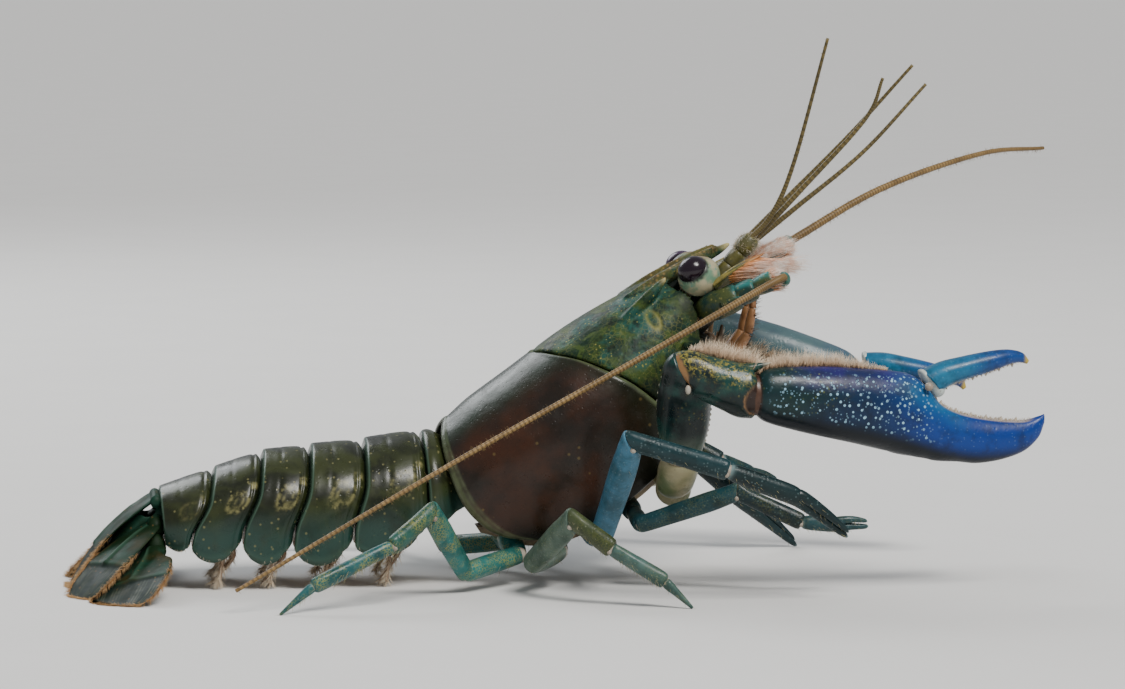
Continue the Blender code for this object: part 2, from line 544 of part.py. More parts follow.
def blade(spec, rim, side, name):
    # A tail fan plate, broad and thin with a round end, cut flat where it meets the floor.
    root, tip, across, half, thick, rise = spec
    root = Vector((root[0], side * root[1], root[2]))
    tip = Vector((tip[0], side * tip[1], tip[2]))
    way = tip - root
    across = Vector((across[0], across[1] * (side or 1), across[2]))
    lift = way.cross(across).normalized() * rise
    lift = lift if lift.z > 0 else -lift
    stations = []
    for share, broad, fat in rim:
        centre = root + way * share + lift * sin(pi * share)
        stations.append((centre, way + lift * pi * cos(pi * share), half * broad, thick * fat / 2))
    bm = limb(stations, across, 12)
    geom = list(bm.verts) + list(bm.edges) + list(bm.faces)
    cut = bmesh.ops.bisect_plane(bm, geom=geom, plane_co=(0, 0, 0), plane_no=DOWN, clear_outer=True, dist=1e-5)
    rim_edges = [g for g in cut["geom_cut"] if isinstance(g, bmesh.types.BMEdge)]
    if rim_edges:
        bmesh.ops.holes_fill(bm, edges=rim_edges, sides=0)
    finish(name, bm, "tail", root)


def make_tail():
    blade(TELSON, TELSON_RIM, 0, "telson")
    for side in (-1, 1):
        blade(INNER_UROPOD, BLADE_RIM, side, f"uropod_inner_{side_name(side)}")
        blade(OUTER_UROPOD, STALKED_RIM, side, f"uropod_outer_{side_name(side)}")


def sizes_of(thick, flat=0.8):
    return [(thick * flat * s, thick * s) for s in (0.95, 1.05, 0.9)]


def hip(number, side):
    # Root ring on the underside plate and first bend under the lip.
    a = COXA_PLACES[number]
    wall = sternum_wall(a, 0.62, side)
    outward = LEFT * side * 0.891 - UPWARD * 0.454
    bend = body_point(a, side * 7.6, COXA_DROP[number])
    return wall + outward * GAP * 1.8, outward, bend


def make_leg(number, side, joints):
    thick = LEG_THICKNESS[number]
    root, outward, bend = hip(number, side)
    ischium, knee, wrist, palm, tip = [Vector(j) for j in joints]
    fold = (knee - ischium).cross(wrist - knee).normalized()
    knee_way = joined_way(ischium, knee, wrist)
    upper = [(root, outward, thick * 0.9, thick * 1.0), (root.lerp(bend, 0.45), bend - root, thick, thick),
             (bend, joined_way(root, bend, ischium), thick * 0.85, thick * 0.85),
             (bend.lerp(ischium, 0.6), ischium - bend, thick * 0.9, thick * 0.95)]
    ischium_way = joined_way(bend, ischium, knee)
    upper += segment(ischium, knee - knee_way * GAP / 2, ischium_way, knee_way, sizes_of(thick))
    name = f"leg_{number}_{side_name(side)}"
    finish(f"{name}_upper", limb(upper, fold, 10), "leg", root)
    wrist_way = joined_way(knee, wrist, palm)
    palm_way = joined_way(wrist, palm, tip)
    lower = segment(knee + knee_way * GAP / 2, wrist, knee_way, wrist_way, sizes_of(thick * 0.85))
    if number > 3:
        lower += segment(wrist, palm, wrist_way, palm_way, sizes_of(thick * 0.72))[1:]
        lower += [(palm.lerp(tip, 0.25), tip - palm, thick * 0.4, thick * 0.5),
                  (palm.lerp(tip, 0.7), tip - palm, thick * 0.3, thick * 0.36),
                  (tip, DOWN, FOOT_FLAT, FOOT_FLAT)]
        finish(f"{name}_lower", limb(lower, fold, 10), "leg", knee)
        return
    lower += segment(wrist, palm, wrist_way, palm_way, sizes_of(thick * 0.8))[1:]
    # The two thin fingers of a small pincer, the fixed one below and the moving one above.
    up = fold.cross(tip - palm).normalized()
    up = up if up.z > 0 else -up
    foot = DOWN if tip.z == 0 else tip - palm
    low = palm - up * thick * 0.3
    fixed = limb([(palm - (palm - wrist) * 0.3, palm - wrist, 0.5 * thick, 0.42 * thick),
                  (low, tip - palm, 0.42 * thick, 0.36 * thick),
                  (low.lerp(tip, 0.55), tip - palm, 0.34 * thick, 0.3 * thick),
                  (tip, foot, FOOT_FLAT, FOOT_FLAT)], fold, 8)
    high = palm + up * thick * 0.38
    end = tip + up * 0.8 - (tip - palm) * 0.06
    moving = limb([(palm - (palm - wrist) * 0.3, palm - wrist, 0.5 * thick, 0.42 * thick),
                   (high, tip - palm, 0.42 * thick, 0.36 * thick),
                   (high.lerp(end, 0.55) + up * 0.3, tip - palm, 0.32 * thick, 0.3 * thick),
                   (end, tip - palm, 0.26, 0.26)], fold, 8)
    finish(f"{name}_lower", fuse([limb(lower, fold, 10), fixed, moving]), "leg", knee)


def claw_frame(origin, way):
    way = way.normalized()
    sideways = Vector((0, 0, 1)).cross(way).normalized()
    upright = way.cross(sideways)
    return origin, way, sideways, upright


def make_claw(side, arm, way, gape):
    ischium, merus, elbow, wrist = [Vector(j) for j in arm]
    name = f"claw_{side_name(side)}"
    root, outward, bend = hip(1, side)
    elbow_way = joined_way(merus, elbow, wrist)
    fold = (elbow - merus).cross(wrist - elbow).normalized()
    merus_way = (elbow - merus).normalized()
    ischium_way = joined_way(bend, ischium, merus)
    end = merus - merus_way * GAP * 1.667
    upper = [(root, outward, *ARM_ROOT), (root.lerp(bend, 0.45), bend - root, 2.2, 2.2),
             (bend, joined_way(root, bend, ischium), 2.0, 2.0),
             (bend.lerp(ischium, 0.7), ischium - bend, 2.2, 2.3),
             (ischium, ischium_way, 2.3, 2.5), (ischium.lerp(merus, 0.6), merus_way, 2.3, 2.6),
             (end, merus_way, *ARM_MERUS_ROOT)]
    finish(f"{name}_ischium", limb(upper, fold, 12), "pale", root)
    arm_stations = [(end + merus_way * GAP, merus_way, *ARM_MERUS_ROOT)]
    for share, breadth, height in ARM_MERUS:
        arm_stations.append((merus.lerp(elbow, share), merus_way, breadth, height))
    arm_stations.append((elbow - elbow_way * GAP / 2, elbow_way, *ARM_ELBOW))
    finish(f"{name}_merus", limb(arm_stations, fold, 12), "arm", merus)
    origin, along, sideways, upright = claw_frame(wrist, way)
    carpus_way = (wrist - elbow).normalized()
    carpus = [(elbow + elbow_way * GAP / 2, elbow_way, *ARM_ELBOW)]
    for share, breadth, height in ARM_CARPUS:
        carpus.append((elbow.lerp(wrist, share), carpus_way, breadth, height))
    carpus.append((wrist - along * GAP * 1.2, along, *ARM_WRIST))
    reach, height, radius = WRIST_SPINE
    share, rise = WRIST_SPINE_ROOT
    thorn = spine(elbow.lerp(wrist, share) + upright * rise, wrist + along * reach + upright * height, radius)
    finish(f"{name}_carpus", fuse([limb(carpus, sideways, 12), thorn]), "arm", elbow)
    palm = [(origin + along * l + upright * (top + low) / 2, along, half, (top - low) / 2)
            for l, top, low, half in PALM]
    tooth, tooth_radius = CLAW_TOOTH
    edge = [(l, top) for l, top, low, half in PALM]
    teeth = []
    for l in PALM_TEETH:
        root = origin + along * l + upright * (curve(edge, l) - TOOTH_SUNK)
        teeth.append(spine(root, root + upright * tooth, tooth_radius, sideways))
    finish(f"{name}_palm", fuse([limb(palm, sideways, 16)] + teeth), "claw", origin)
    finger = []
    teeth = []
    swing = Matrix.Rotation(-gape, 3, sideways)
    for i, (l, h, height, half) in enumerate(DACTYL):
        after = DACTYL[min(i + 1, len(DACTYL) - 1)]
        before = DACTYL[max(i - 1, 0)]
        run = (after[0] - before[0], after[1] - before[1])
        reach = along * (l - DACTYL[0][0]) + upright * (h - DACTYL[0][1])
        hinge = origin + along * DACTYL[0][0] + upright * DACTYL[0][1]
        direction = swing @ (along * run[0] + upright * run[1])
        if i == 0:
            direction = along * DACTYL_ROOT_WAY[0] + upright * DACTYL_ROOT_WAY[1]
        finger.append((hinge + swing @ reach, direction, half, height))
        if i in DACTYL_TEETH:
            inward = sideways.cross(direction).normalized()
            inward = inward if inward.dot(upright) < 0 else -inward
            root = hinge + swing @ reach + inward * (height - TOOTH_SUNK)
            teeth.append(spine(root, root + inward * tooth, tooth_radius, sideways))
    finish(f"{name}_dactyl", fuse([limb(finger, sideways, 12)] + teeth), "claw", finger[0][0])


def make_antenna(side, flagellum):
    name = side_name(side)
    root, elbow = [body_point(a, side * y, d) for a, y, d in (PEDUNCLE_ROOT, PEDUNCLE_ELBOW)]
    outward = LEFT * side * 0.9 + FORWARD * 0.3
    end = Vector(PEDUNCLE_ENDS[side])
    stations = [(root, outward, 1.6, 1.6), (root.lerp(elbow, 0.5), elbow - root, 1.9, 1.9),
                (elbow, joined_way(root, elbow, end), 1.8, 1.8)]
    stations += [(elbow.lerp(end, share), end - elbow, radius, radius) for share, radius in PEDUNCLE]
    finish(f"antenna_{name}_peduncle", limb(stations, UPWARD, 10), "head", root)
    line = [Vector(p) for p in flagellum]
    finish(f"antenna_{name}_flagellum", whip(line, FLAGELLUM_THICK, FLAGELLUM_THIN, 26, 8), "feeler", line[0])
    base, tip = [body_point(a, side * y, d) for a, y, d in (SCALE_BASE, SCALE_TIP)]
    way = tip - base
    plate = [(base + way * share, way, half, SCALE_THICKNESS) for share, half in SCALE_OUTLINE]
    finish(f"antenna_{name}_scale", limb(plate, LEFT * side + UPWARD * 0.6, 8), "head", base)


def make_antennule(side):
    # A stalk that carries the outer whip, and the inner whip as a piece of its own beside it.
    a, y, d = ANTENNULE_ROOT
    root = body_point(a, side * y, d)
    end = Vector(ANTENNULE_ENDS[side])
    way = (end - root).normalized()
    outer, inner = [[Vector(p) for p in points] for points in ANTENNULE_WHIPS[side]]
    apart = outer[0] - inner[0]
    apart = (apart - way * apart.dot(way)).normalized() * (WHIP_THICK + GAP / 2)
    stations = [(root, FORWARD, 0.95, 0.95)]
    stations += [(root.lerp(end, share), end - root, radius, radius) for share, radius in ANTENNULE_STALK]
    outer_whip = whip([end - way + apart] + outer, WHIP_THICK, WHIP_THIN, 14, 6)
    name = f"antennule_{side_name(side)}"
    finish(name, fuse([limb(stations, LEFT, 8), outer_whip]), "feeler", root)
    inner_root = end + way * GAP * 1.5 - apart
    finish(f"{name}_inner", whip([inner_root] + inner, WHIP_THICK, WHIP_THIN, 14, 6), "feeler", inner_root)


def make_maxilliped(side):
    points = [body_point(a, side * y, d) for a, y, d, half, thick in MAXILLIPED]
    sizes = [(half, thick) for a, y, d, half, thick in MAXILLIPED]
    stations = [(points[0], FORWARD, *sizes[0])]
    for before, here, after, size in zip(points, points[1:], points[2:], sizes[1:]):
        stations.append((here, after - before, *size))
    stations.append((points[-1], points[-1] - points[-2], *sizes[-1]))
    finish(f"maxilliped_{side_name(side)}", limb(stations, LEFT, 10), "pale", points[0])


def main():
    clear_scene()
    bpy.context.scene.collection.objects.link(bpy.data.objects.new("crayfish", None))
    make_carapace_back()
    make_carapace_head()
    make_face()
    make_sternum()
    for number in range(1, 7):
        make_abdomen(number)
    make_tail()
    for side, legs, arm, way, gape, flagellum in (
            (-1, NEAR_LEGS, NEAR_ARM, NEAR_CLAW_WAY, NEAR_GAPE, NEAR_FLAGELLUM),
            (1, FAR_LEGS, FAR_ARM, FAR_CLAW_WAY, FAR_GAPE, FAR_FLAGELLUM)):
        make_eye(side)
        make_antenna(side, flagellum)
        make_antennule(side)
        make_maxilliped(side)
        make_claw(side, arm, way, gape)
        for number, joints in legs.items():
            make_leg(number, side, joints)


main()
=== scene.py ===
from math import atan2, cos, exp, pi, radians, sin
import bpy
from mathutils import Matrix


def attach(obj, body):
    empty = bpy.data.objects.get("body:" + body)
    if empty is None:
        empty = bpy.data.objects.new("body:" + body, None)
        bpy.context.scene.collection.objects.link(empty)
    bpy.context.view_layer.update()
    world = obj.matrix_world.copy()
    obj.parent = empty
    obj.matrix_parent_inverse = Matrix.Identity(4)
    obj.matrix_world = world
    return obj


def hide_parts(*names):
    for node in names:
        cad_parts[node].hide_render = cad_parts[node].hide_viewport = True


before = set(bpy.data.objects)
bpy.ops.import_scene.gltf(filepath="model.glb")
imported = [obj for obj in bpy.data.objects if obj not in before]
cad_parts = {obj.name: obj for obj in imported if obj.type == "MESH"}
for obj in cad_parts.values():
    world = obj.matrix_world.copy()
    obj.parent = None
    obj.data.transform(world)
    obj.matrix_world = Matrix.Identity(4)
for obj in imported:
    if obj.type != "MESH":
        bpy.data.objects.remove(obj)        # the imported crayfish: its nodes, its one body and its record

from types import SimpleNamespace

import bmesh
import bpy
import numpy as np
from mathutils import Matrix, Vector, noise
from mathutils.bvhtree import BVHTree

# Shapes are worked out in millimetres, with X to the head, Y to the animal's left and Z up.
mm = 0.001
centre = Vector((1.45, 0, 0))
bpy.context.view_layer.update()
left, up, down = Vector((0, 1, 0)), Vector((0, 0, 1)), Vector((0, 0, -1))
pitch = radians(32)
forward = Vector((cos(pitch), 0, sin(pitch)))
upward = Vector((-sin(pitch), 0, cos(pitch)))
shellRear = Vector((-21.7, 0, 22.3))
sideNames = {-1: "right", 1: "left"}


# Small helpers
def curve(points, x):
    i = max([0] + [n for n in range(len(points) - 1) if points[n][0] <= x])
    (x0, y0), (x1, y1) = points[i], points[i + 1]
    before, after = points[max(i - 1, 0)], points[min(i + 2, len(points) - 1)]
    span = x1 - x0
    t = max(0.0, min(1.0, (x - x0) / span))
    m0 = (y1 - before[1]) / (x1 - before[0]) * span
    m1 = (after[1] - y0) / (after[0] - x0) * span
    return (y0 * (2 * t**3 - 3 * t**2 + 1) + m0 * (t**3 - 2 * t**2 + t)
            + y1 * (3 * t**2 - 2 * t**3) + m1 * (t**3 - t**2))


def placeAt(places, x):
    return Vector([curve([(s, p[axis]) for s, p in places], x) for axis in range(3)])


def flow(points, count):
    places, last = list(enumerate(points)), len(points) - 1
    return [placeAt(places, last * i / (count - 1)) for i in range(count)]


def between(first, second, share):
    return first + (second - first) * share


def rise(x, low, high):
    t = max(0.0, min(1.0, (x - low) / (high - low)))
    return t * t * (3 - 2 * t)


def hill(x, middle, width):
    return exp(-((x - middle) / width) ** 2)


def bodyPoint(a, y, d):
    return shellRear + forward * a + left * y + upward * d


def bodyPlace(point):
    reach = point - shellRear
    return reach.dot(forward), reach.y, reach.dot(upward)


# Mesh builders
def tube(sides, rings, place, ends):
    # A closed skin of rings; each point keeps where it lies along and around.
    bm = bmesh.new()
    along = bm.verts.layers.float.new("along")
    around = bm.verts.layers.float.new("around")
    bmesh.ops.create_circle(bm, segments=sides, radius=1.0, cap_ends=False)
    edges = list(bm.edges)
    for _ in range(rings - 1):
        grown = bmesh.ops.extrude_edge_only(bm, edges=edges)["geom"]
        bmesh.ops.translate(bm, vec=(0, 0, 1), verts=[g for g in grown if isinstance(g, bmesh.types.BMVert)])
        edges = [g for g in grown if isinstance(g, bmesh.types.BMEdge) and g.is_boundary]
    caps = bmesh.ops.holes_fill(bm, edges=bm.edges, sides=0)["faces"]
    middles = set(bmesh.ops.poke(bm, faces=caps)["verts"])
    for vert in bm.verts:
        ring = round(vert.co.z)
        turn = atan2(vert.co.x, vert.co.y)
        vert[along] = ring / (rings - 1)
        vert[around] = turn / pi
        vert.co = (ends[0] if ring == 0 else ends[1]) if vert in middles else place(ring, turn)
    bmesh.ops.recalc_face_normals(bm, faces=bm.faces)
    return bm


def limb(stations, side, sides=24, rings=24, square=2.0, relief=None):
    # A smooth tube through stations of centre, way, half breadth along side and half height.
    last = len(stations) - 1
    frames = []
    for ring in range(rings):
        x = last * ring / (rings - 1)
        i = min(int(x), last - 1)
        middle = placeAt([(n, s[0]) for n, s in enumerate(stations)], x)
        before, after = [Vector(station[1]).normalized() for station in stations[i:i + 2]]
        way = before.lerp(after, x - i).normalized()
        breadth, height = [curve([(n, s[k]) for n, s in enumerate(stations)], x) for k in (2, 3)]
        across = (side - way * side.dot(way)).normalized()
        frames.append((middle, across, way.cross(across), breadth, height))

    def place(ring, turn):
        middle, across, upright, breadth, height = frames[ring]
        x, z = sin(turn), cos(turn)
        x = abs(x) ** (2 / square) * (1 if x > 0 else -1)
        z = abs(z) ** (2 / square) * (1 if z > 0 else -1)
        swell = 1.0 + (relief(ring / (rings - 1), turn) if relief else 0.0)
        return middle + across * x * breadth * swell + upright * z * height * swell

    return tube(sides, rings, place, (frames[0][0], frames[-1][0]))


def whip(points, thick, thin, rings, sides=10):
    line = flow(points, rings)
    stations = []
    for i, middle in enumerate(line):
        way = line[min(i + 1, rings - 1)] - line[max(i - 1, 0)]
        radius = between(thick, thin, i / (rings - 1))
        stations.append((middle, way, radius, radius))
    return limb(stations, Vector((0.3, 1, 0.2)), sides, rings)


def spine(root, tip, radius, side=left, sides=12):
    way = tip - root
    stations = [(root - way * 0.35, way, radius * 1.15, radius * 1.15),
                (root + way * 0.1, way, radius, radius),
                (root + way * 0.5, way, radius * 0.55, radius * 0.55), (tip, way, 0.06, 0.06)]
    return limb(stations, side, sides, 9)


def ball(middle, radius, stretch=(1, 1, 1), sides=24):
    bm = bmesh.new()
    bmesh.ops.create_uvsphere(bm, u_segments=sides, v_segments=sides // 2, radius=radius)
    bmesh.ops.scale(bm, vec=stretch, verts=bm.verts)
    bmesh.ops.translate(bm, vec=middle, verts=bm.verts)
    return bm


def joined(parts):
    # Several closed shapes in one mesh, each numbered in the layer called tile.
    whole = bmesh.new()
    for layer in ("along", "around", "tile"):
        whole.verts.layers.float.new(layer)
    for number, bm in enumerate(parts):
        tile = bm.verts.layers.float.new("tile")
        for vert in bm.verts:
            vert[tile] = number
        mesh = bpy.data.meshes.new("part")
        bm.to_mesh(mesh)
        bm.free()
        whole.from_mesh(mesh)
        bpy.data.meshes.remove(mesh)
    return whole


def linked(name, data):
    obj = bpy.data.objects.new(name, data)
    bpy.context.scene.collection.objects.link(obj)
    return obj


def remeshed(bm, voxel, rounds):
    # One even skin over several closed shapes, then smoothed.
    mesh = bpy.data.meshes.new("rough")
    bm.to_mesh(mesh)
    bm.free()
    rough = linked("rough", mesh)
    remesh = rough.modifiers.new("even", "REMESH")
    remesh.mode = "VOXEL"
    remesh.voxel_size = voxel
    even = bmesh.new()
    even.from_mesh(rough.evaluated_get(bpy.context.evaluated_depsgraph_get()).to_mesh())
    bpy.data.objects.remove(rough, do_unlink=True)
    for _ in range(rounds):
        bmesh.ops.smooth_vert(even, verts=even.verts, factor=0.5, use_axis_x=True, use_axis_y=True,
                              use_axis_z=True)
    return even


def paint(bm, name, shade):
    # Writes a mark's strength from 0 to 1 on each point.
    mark = bm.verts.layers.float.new(name)
    for vert in bm.verts:
        vert[mark] = max(0.0, min(1.0, shade(vert)))


def paintAll(bm, read, marks):
    # Each mark's shade is a function of what read tells of a point.
    for name, shade in marks.items():
        paint(bm, name, lambda vert, shade=shade: shade(*read(vert)))


def dress(name, mesh, finish, slot):
    # Shows a mesh in its finish, on the one body.
    mesh.shade_smooth()
    mesh.materials.append(finish)
    obj = linked(name, mesh)
    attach(obj, "root")
    return obj


made = {}


def piece(name, bm, finish, slot, *nodes):
    bmesh.ops.recalc_face_normals(bm, faces=bm.faces)
    bmesh.ops.translate(bm, vec=centre, verts=bm.verts)
    bmesh.ops.scale(bm, vec=(mm, mm, mm), verts=bm.verts)
    mesh = bpy.data.meshes.new(name)
    bm.to_mesh(mesh)
    bm.free()
    made[name] = dress(name, mesh, finish, slot)
    if nodes:
        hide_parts(*nodes)


# Shader maths
class Wire:
    # A socket that multiplies and compares like a number.
    def __init__(self, graph, socket):
        self.graph, self.socket = graph, socket

    def math(self, operation, other):
        return self.graph.node("Math", {"operation": operation}, {0: self, 1: other})

    def __mul__(self, other):
        return self.math("MULTIPLY", other)

    def __lt__(self, other):
        return self.math("LESS_THAN", other)

    __rmul__ = __mul__


class Graph:
    # The nodes of one finish, on a Principled shader.
    def __init__(self, name):
        self.material = bpy.data.materials.new(name)
        self.material.use_nodes = True
        self.tree = self.material.node_tree
        self.shader = self.tree.nodes["Principled BSDF"]
        self.place = self.node("TexCoord", output="Object")

    def feed(self, socket, value):
        if isinstance(value, Wire):
            self.tree.links.new(value.socket, socket)
        elif socket.type == "RGBA":
            socket.default_value = (*value[:3], 1)
        else:
            socket.default_value = value

    def node(self, kind, settings=None, sockets=None, output=0):
        made = self.tree.nodes.new("ShaderNode" + kind)
        for key, value in (settings or {}).items():
            if key == "stops":
                ramp = made.color_ramp.elements
                while len(ramp) < len(value):
                    ramp.new(0.5)
                for element, (position, colour) in zip(ramp, value):
                    element.position, element.color = position, (*colour, 1)
            else:
                setattr(made, key, value)
        for key, value in (sockets or {}).items():
            self.feed(made.inputs[key], value)
        return Wire(self, made.outputs[output])

    def mark(self, name):
        return self.node("Attribute", {"attribute_name": name}, output="Fac")

    def cloud(self, scale, detail=3.0, roughness=0.55, distortion=0.0):
        sockets = {"Vector": self.place, "Scale": scale, "Detail": detail, "Roughness": roughness,
                   "Distortion": distortion}
        return self.node("TexNoise", None, sockets, "Fac")

    def cells(self, scale, output="Distance", feature="F1"):
        return self.node("TexVoronoi", {"feature": feature}, {"Vector": self.place, "Scale": scale}, output)

    def ease(self, value, low, high, first=0.0, last=1.0):
        sockets = {"Value": value, "From Min": low, "From Max": high, "To Min": first, "To Max": last}
        return self.node("MapRange", {"interpolation_type": "SMOOTHSTEP"}, sockets)

    def patchy(self, name, scale, low, high, least, most=1.0, detail=3):
        # A mark that a cloud wears thin in places.
        return self.mark(name) * self.ease(self.cloud(scale, detail), low, high, least, most)

    def gloss(self, scale, low, high):
        return self.ease(self.cloud(scale, 4), 0.3, 0.7, low, high)

    def mix(self, share, first, second, mode="MIX"):
        settings = {"data_type": "RGBA", "blend_type": mode}
        return self.node("Mix", settings, {0: share, 6: first, 7: second}, 2)

    def spots(self, scale, size, amount, soft=0.12):
        # Round spots in a share of the cells.
        chosen = self.node("SeparateColor", None, {"Color": self.cells(scale, "Color")}, "Red") < amount
        return self.ease(self.cells(scale), size + soft, size) * chosen

    def finish(self, colour, roughness, bumps=(), coat=0.0, specular=0.4):
        self.feed(self.shader.inputs["Base Color"], colour)
        self.feed(self.shader.inputs["Roughness"], roughness)
        self.feed(self.shader.inputs["Coat Weight"], coat)
        self.shader.inputs["Coat Roughness"].default_value = 0.12
        self.shader.inputs["Specular IOR Level"].default_value = specular
        normal = None
        for height, distance in bumps:
            sockets = {"Height": height, "Distance": distance * mm, "Strength": 1.0}
            if normal:
                sockets["Normal"] = normal
            normal = self.node("Bump", None, sockets)
        if normal:
            self.feed(self.shader.inputs["Normal"], normal)
        return self.material


# Finishes
backColours = {"flank": (0.011, 0.007, 0.004), "red": (0.038, 0.013, 0.005), "band": (0.008, 0.017, 0.007),
               "dark": (0.006, 0.008, 0.004), "rim": (0.12, 0.15, 0.07), "fleck": (0.13, 0.09, 0.03),
               "belly": (0.22, 0.17, 0.11)}


def backFinish():
    g = Graph("carapace_back_shell")
    c = backColours
    broad = g.cloud(130, 4)
    colour = g.mix(g.ease(broad, 0.36, 0.66) * g.mark("flank"), c["flank"], c["red"])
    colour = g.mix(g.mark("dark"), colour, c["dark"])
    colour = g.mix(g.patchy("band", 300, 0.25, 0.6, 0.6), colour, c["band"])
    colour = g.mix(g.spots(700, 0.09, 0.12) * 0.5, colour, c["fleck"])
    colour = g.mix(g.patchy("rim", 700, 0.3, 0.62, 0.45), colour, c["rim"])
    colour = g.mix(g.mark("under"), colour, c["belly"])
    pits = g.ease(g.cells(1500), 0.0, 0.28)
    return g.finish(colour, g.gloss(420, 0.27, 0.42),
                    [(pits, 0.03), (g.cloud(900, 4), 0.05)], coat=0.08, specular=0.3)


headColours = {"base": (0.007, 0.022, 0.011), "green": (0.040, 0.066, 0.014), "gold": (0.20, 0.19, 0.045),
               "teal": (0.012, 0.070, 0.056), "dark": (0.003, 0.007, 0.004), "cream": (0.42, 0.36, 0.16),
               "tan": (0.30, 0.19, 0.065)}


def headFinish():
    g = Graph("head_shell")
    c = headColours
    colour = g.mix(g.ease(g.cloud(330, 6, 0.68, 0.8), 0.44, 0.6), c["base"], c["green"])
    colour = g.mix(g.ease(g.cloud(150, 4, 0.6), 0.5, 0.64) * 0.85, colour, c["teal"])
    net = g.ease(g.cells(1500, feature="DISTANCE_TO_EDGE"), 0.0, 0.10, 1.0, 0.0)
    colour = g.mix(net * g.ease(g.cloud(240, 3), 0.42, 0.62) * 0.35, colour, c["gold"])
    colour = g.mix(g.ease(g.cloud(700, 4), 0.52, 0.68) * 0.75, colour, c["dark"])
    colour = g.mix(g.spots(2100, 0.2, 0.4) * g.ease(g.cloud(300, 2), 0.42, 0.6), colour, c["gold"])
    # Painted shade from the shade mark: the recess below the eye and the lower cheek.
    colour = g.mix(g.mark("shade"), colour, c["dark"])
    colour = g.mix(g.mark("oval") * 0.8, colour, c["gold"])
    colour = g.mix(g.mark("rostrum") * g.ease(g.cells(1600), 0.1, 0.45, 1.0, 0.3), colour, c["tan"])
    colour = g.mix(g.patchy("rim", 700, 0.3, 0.6, 0.4), colour, c["cream"])
    # Painted shade in the recess under the rostrum, between the eyes.
    colour = g.mix(g.mark("socket"), colour, c["dark"])
    grain = g.ease(g.cells(1700), 0.0, 0.5, 1.0, 0.0)
    return g.finish(colour, g.gloss(500, 0.4, 0.54),
                    [(grain, 0.02), (g.cloud(800, 4), 0.025)], specular=0.16)


abdomenColours = {"back": (0.009, 0.011, 0.004), "olive": (0.028, 0.034, 0.010),
                  "teal": (0.014, 0.044, 0.034),
                  "ochre": (0.23, 0.21, 0.085), "rim": (0.07, 0.13, 0.09), "pale": (0.40, 0.31, 0.21)}


def abdomenFinish():
    g = Graph("abdomen_shell")
    c = abdomenColours
    colour = g.mix(g.ease(g.cloud(190, 4, 0.6, 0.5), 0.4, 0.66), c["back"], c["olive"])
    colour = g.mix(g.patchy("pleura", 260, 0.3, 0.6, 0.45, 1.0, 4), colour, c["teal"])
    colour = g.mix(g.mark("ring") * g.ease(g.cloud(1000, 4, 0.65), 0.38, 0.62), colour, c["ochre"])
    colour = g.mix(g.spots(1300, 0.16, 0.25) * 0.45, colour, c["ochre"])
    colour = g.mix(g.mark("rim"), colour, c["rim"])
    colour = g.mix(g.mark("under"), colour, c["pale"])
    pits = g.ease(g.cells(1300), 0.0, 0.25)
    return g.finish(colour, g.gloss(400, 0.24, 0.38),
                    [(pits, 0.025), (g.cloud(500, 4), 0.04)], coat=0.1, specular=0.28)


tailColours = {"dark": (0.006, 0.018, 0.006), "teal": (0.009, 0.040, 0.025), "brown": (0.040, 0.030, 0.009),
               "soft": (0.009, 0.018, 0.015), "ridge": (0.03, 0.075, 0.045), "edge": (0.30, 0.15, 0.05)}


def tailFinish():
    g = Graph("tail_fan_shell")
    c = tailColours
    colour = g.mix(g.ease(g.cloud(240, 4, 0.6), 0.42, 0.64), c["dark"], c["teal"])
    colour = g.mix(g.ease(g.cloud(150, 3), 0.54, 0.7) * 0.8, colour, c["brown"])
    colour = g.mix(g.patchy("soft", 500, 0.3, 0.6, 0.7, 0.95, 4), colour, c["soft"])
    colour = g.mix(g.patchy("ribs", 700, 0.35, 0.6, 0.1, 0.5), colour, (0.13, 0.14, 0.09))
    colour = g.mix(g.mark("ridge") * 0.8, colour, c["ridge"])
    colour = g.mix(g.spots(1400, 0.16, 0.2) * 0.25, colour, c["edge"])
    colour = g.mix(g.mark("edge") * 0.8, colour, c["edge"])
    return g.finish(colour, g.gloss(420, 0.46, 0.62), [(g.cloud(900, 4), 0.04)], specular=0.14)


clawColours = {"wrist": (0.003, 0.020, 0.018), "palm": (0.002, 0.016, 0.050), "royal": (0.003, 0.030, 0.185),
               "purple": (0.016, 0.009, 0.125), "cyan": (0.012, 0.150, 0.270), "spot": (0.30, 0.52, 0.66),
               "under": (0.001, 0.004, 0.008), "gold": (0.15, 0.17, 0.03), "inner": (0.060, 0.110, 0.120),
               "edge": (0.48, 0.40, 0.30), "tip": (0.42, 0.30, 0.05), "tooth": (0.40, 0.33, 0.24)}


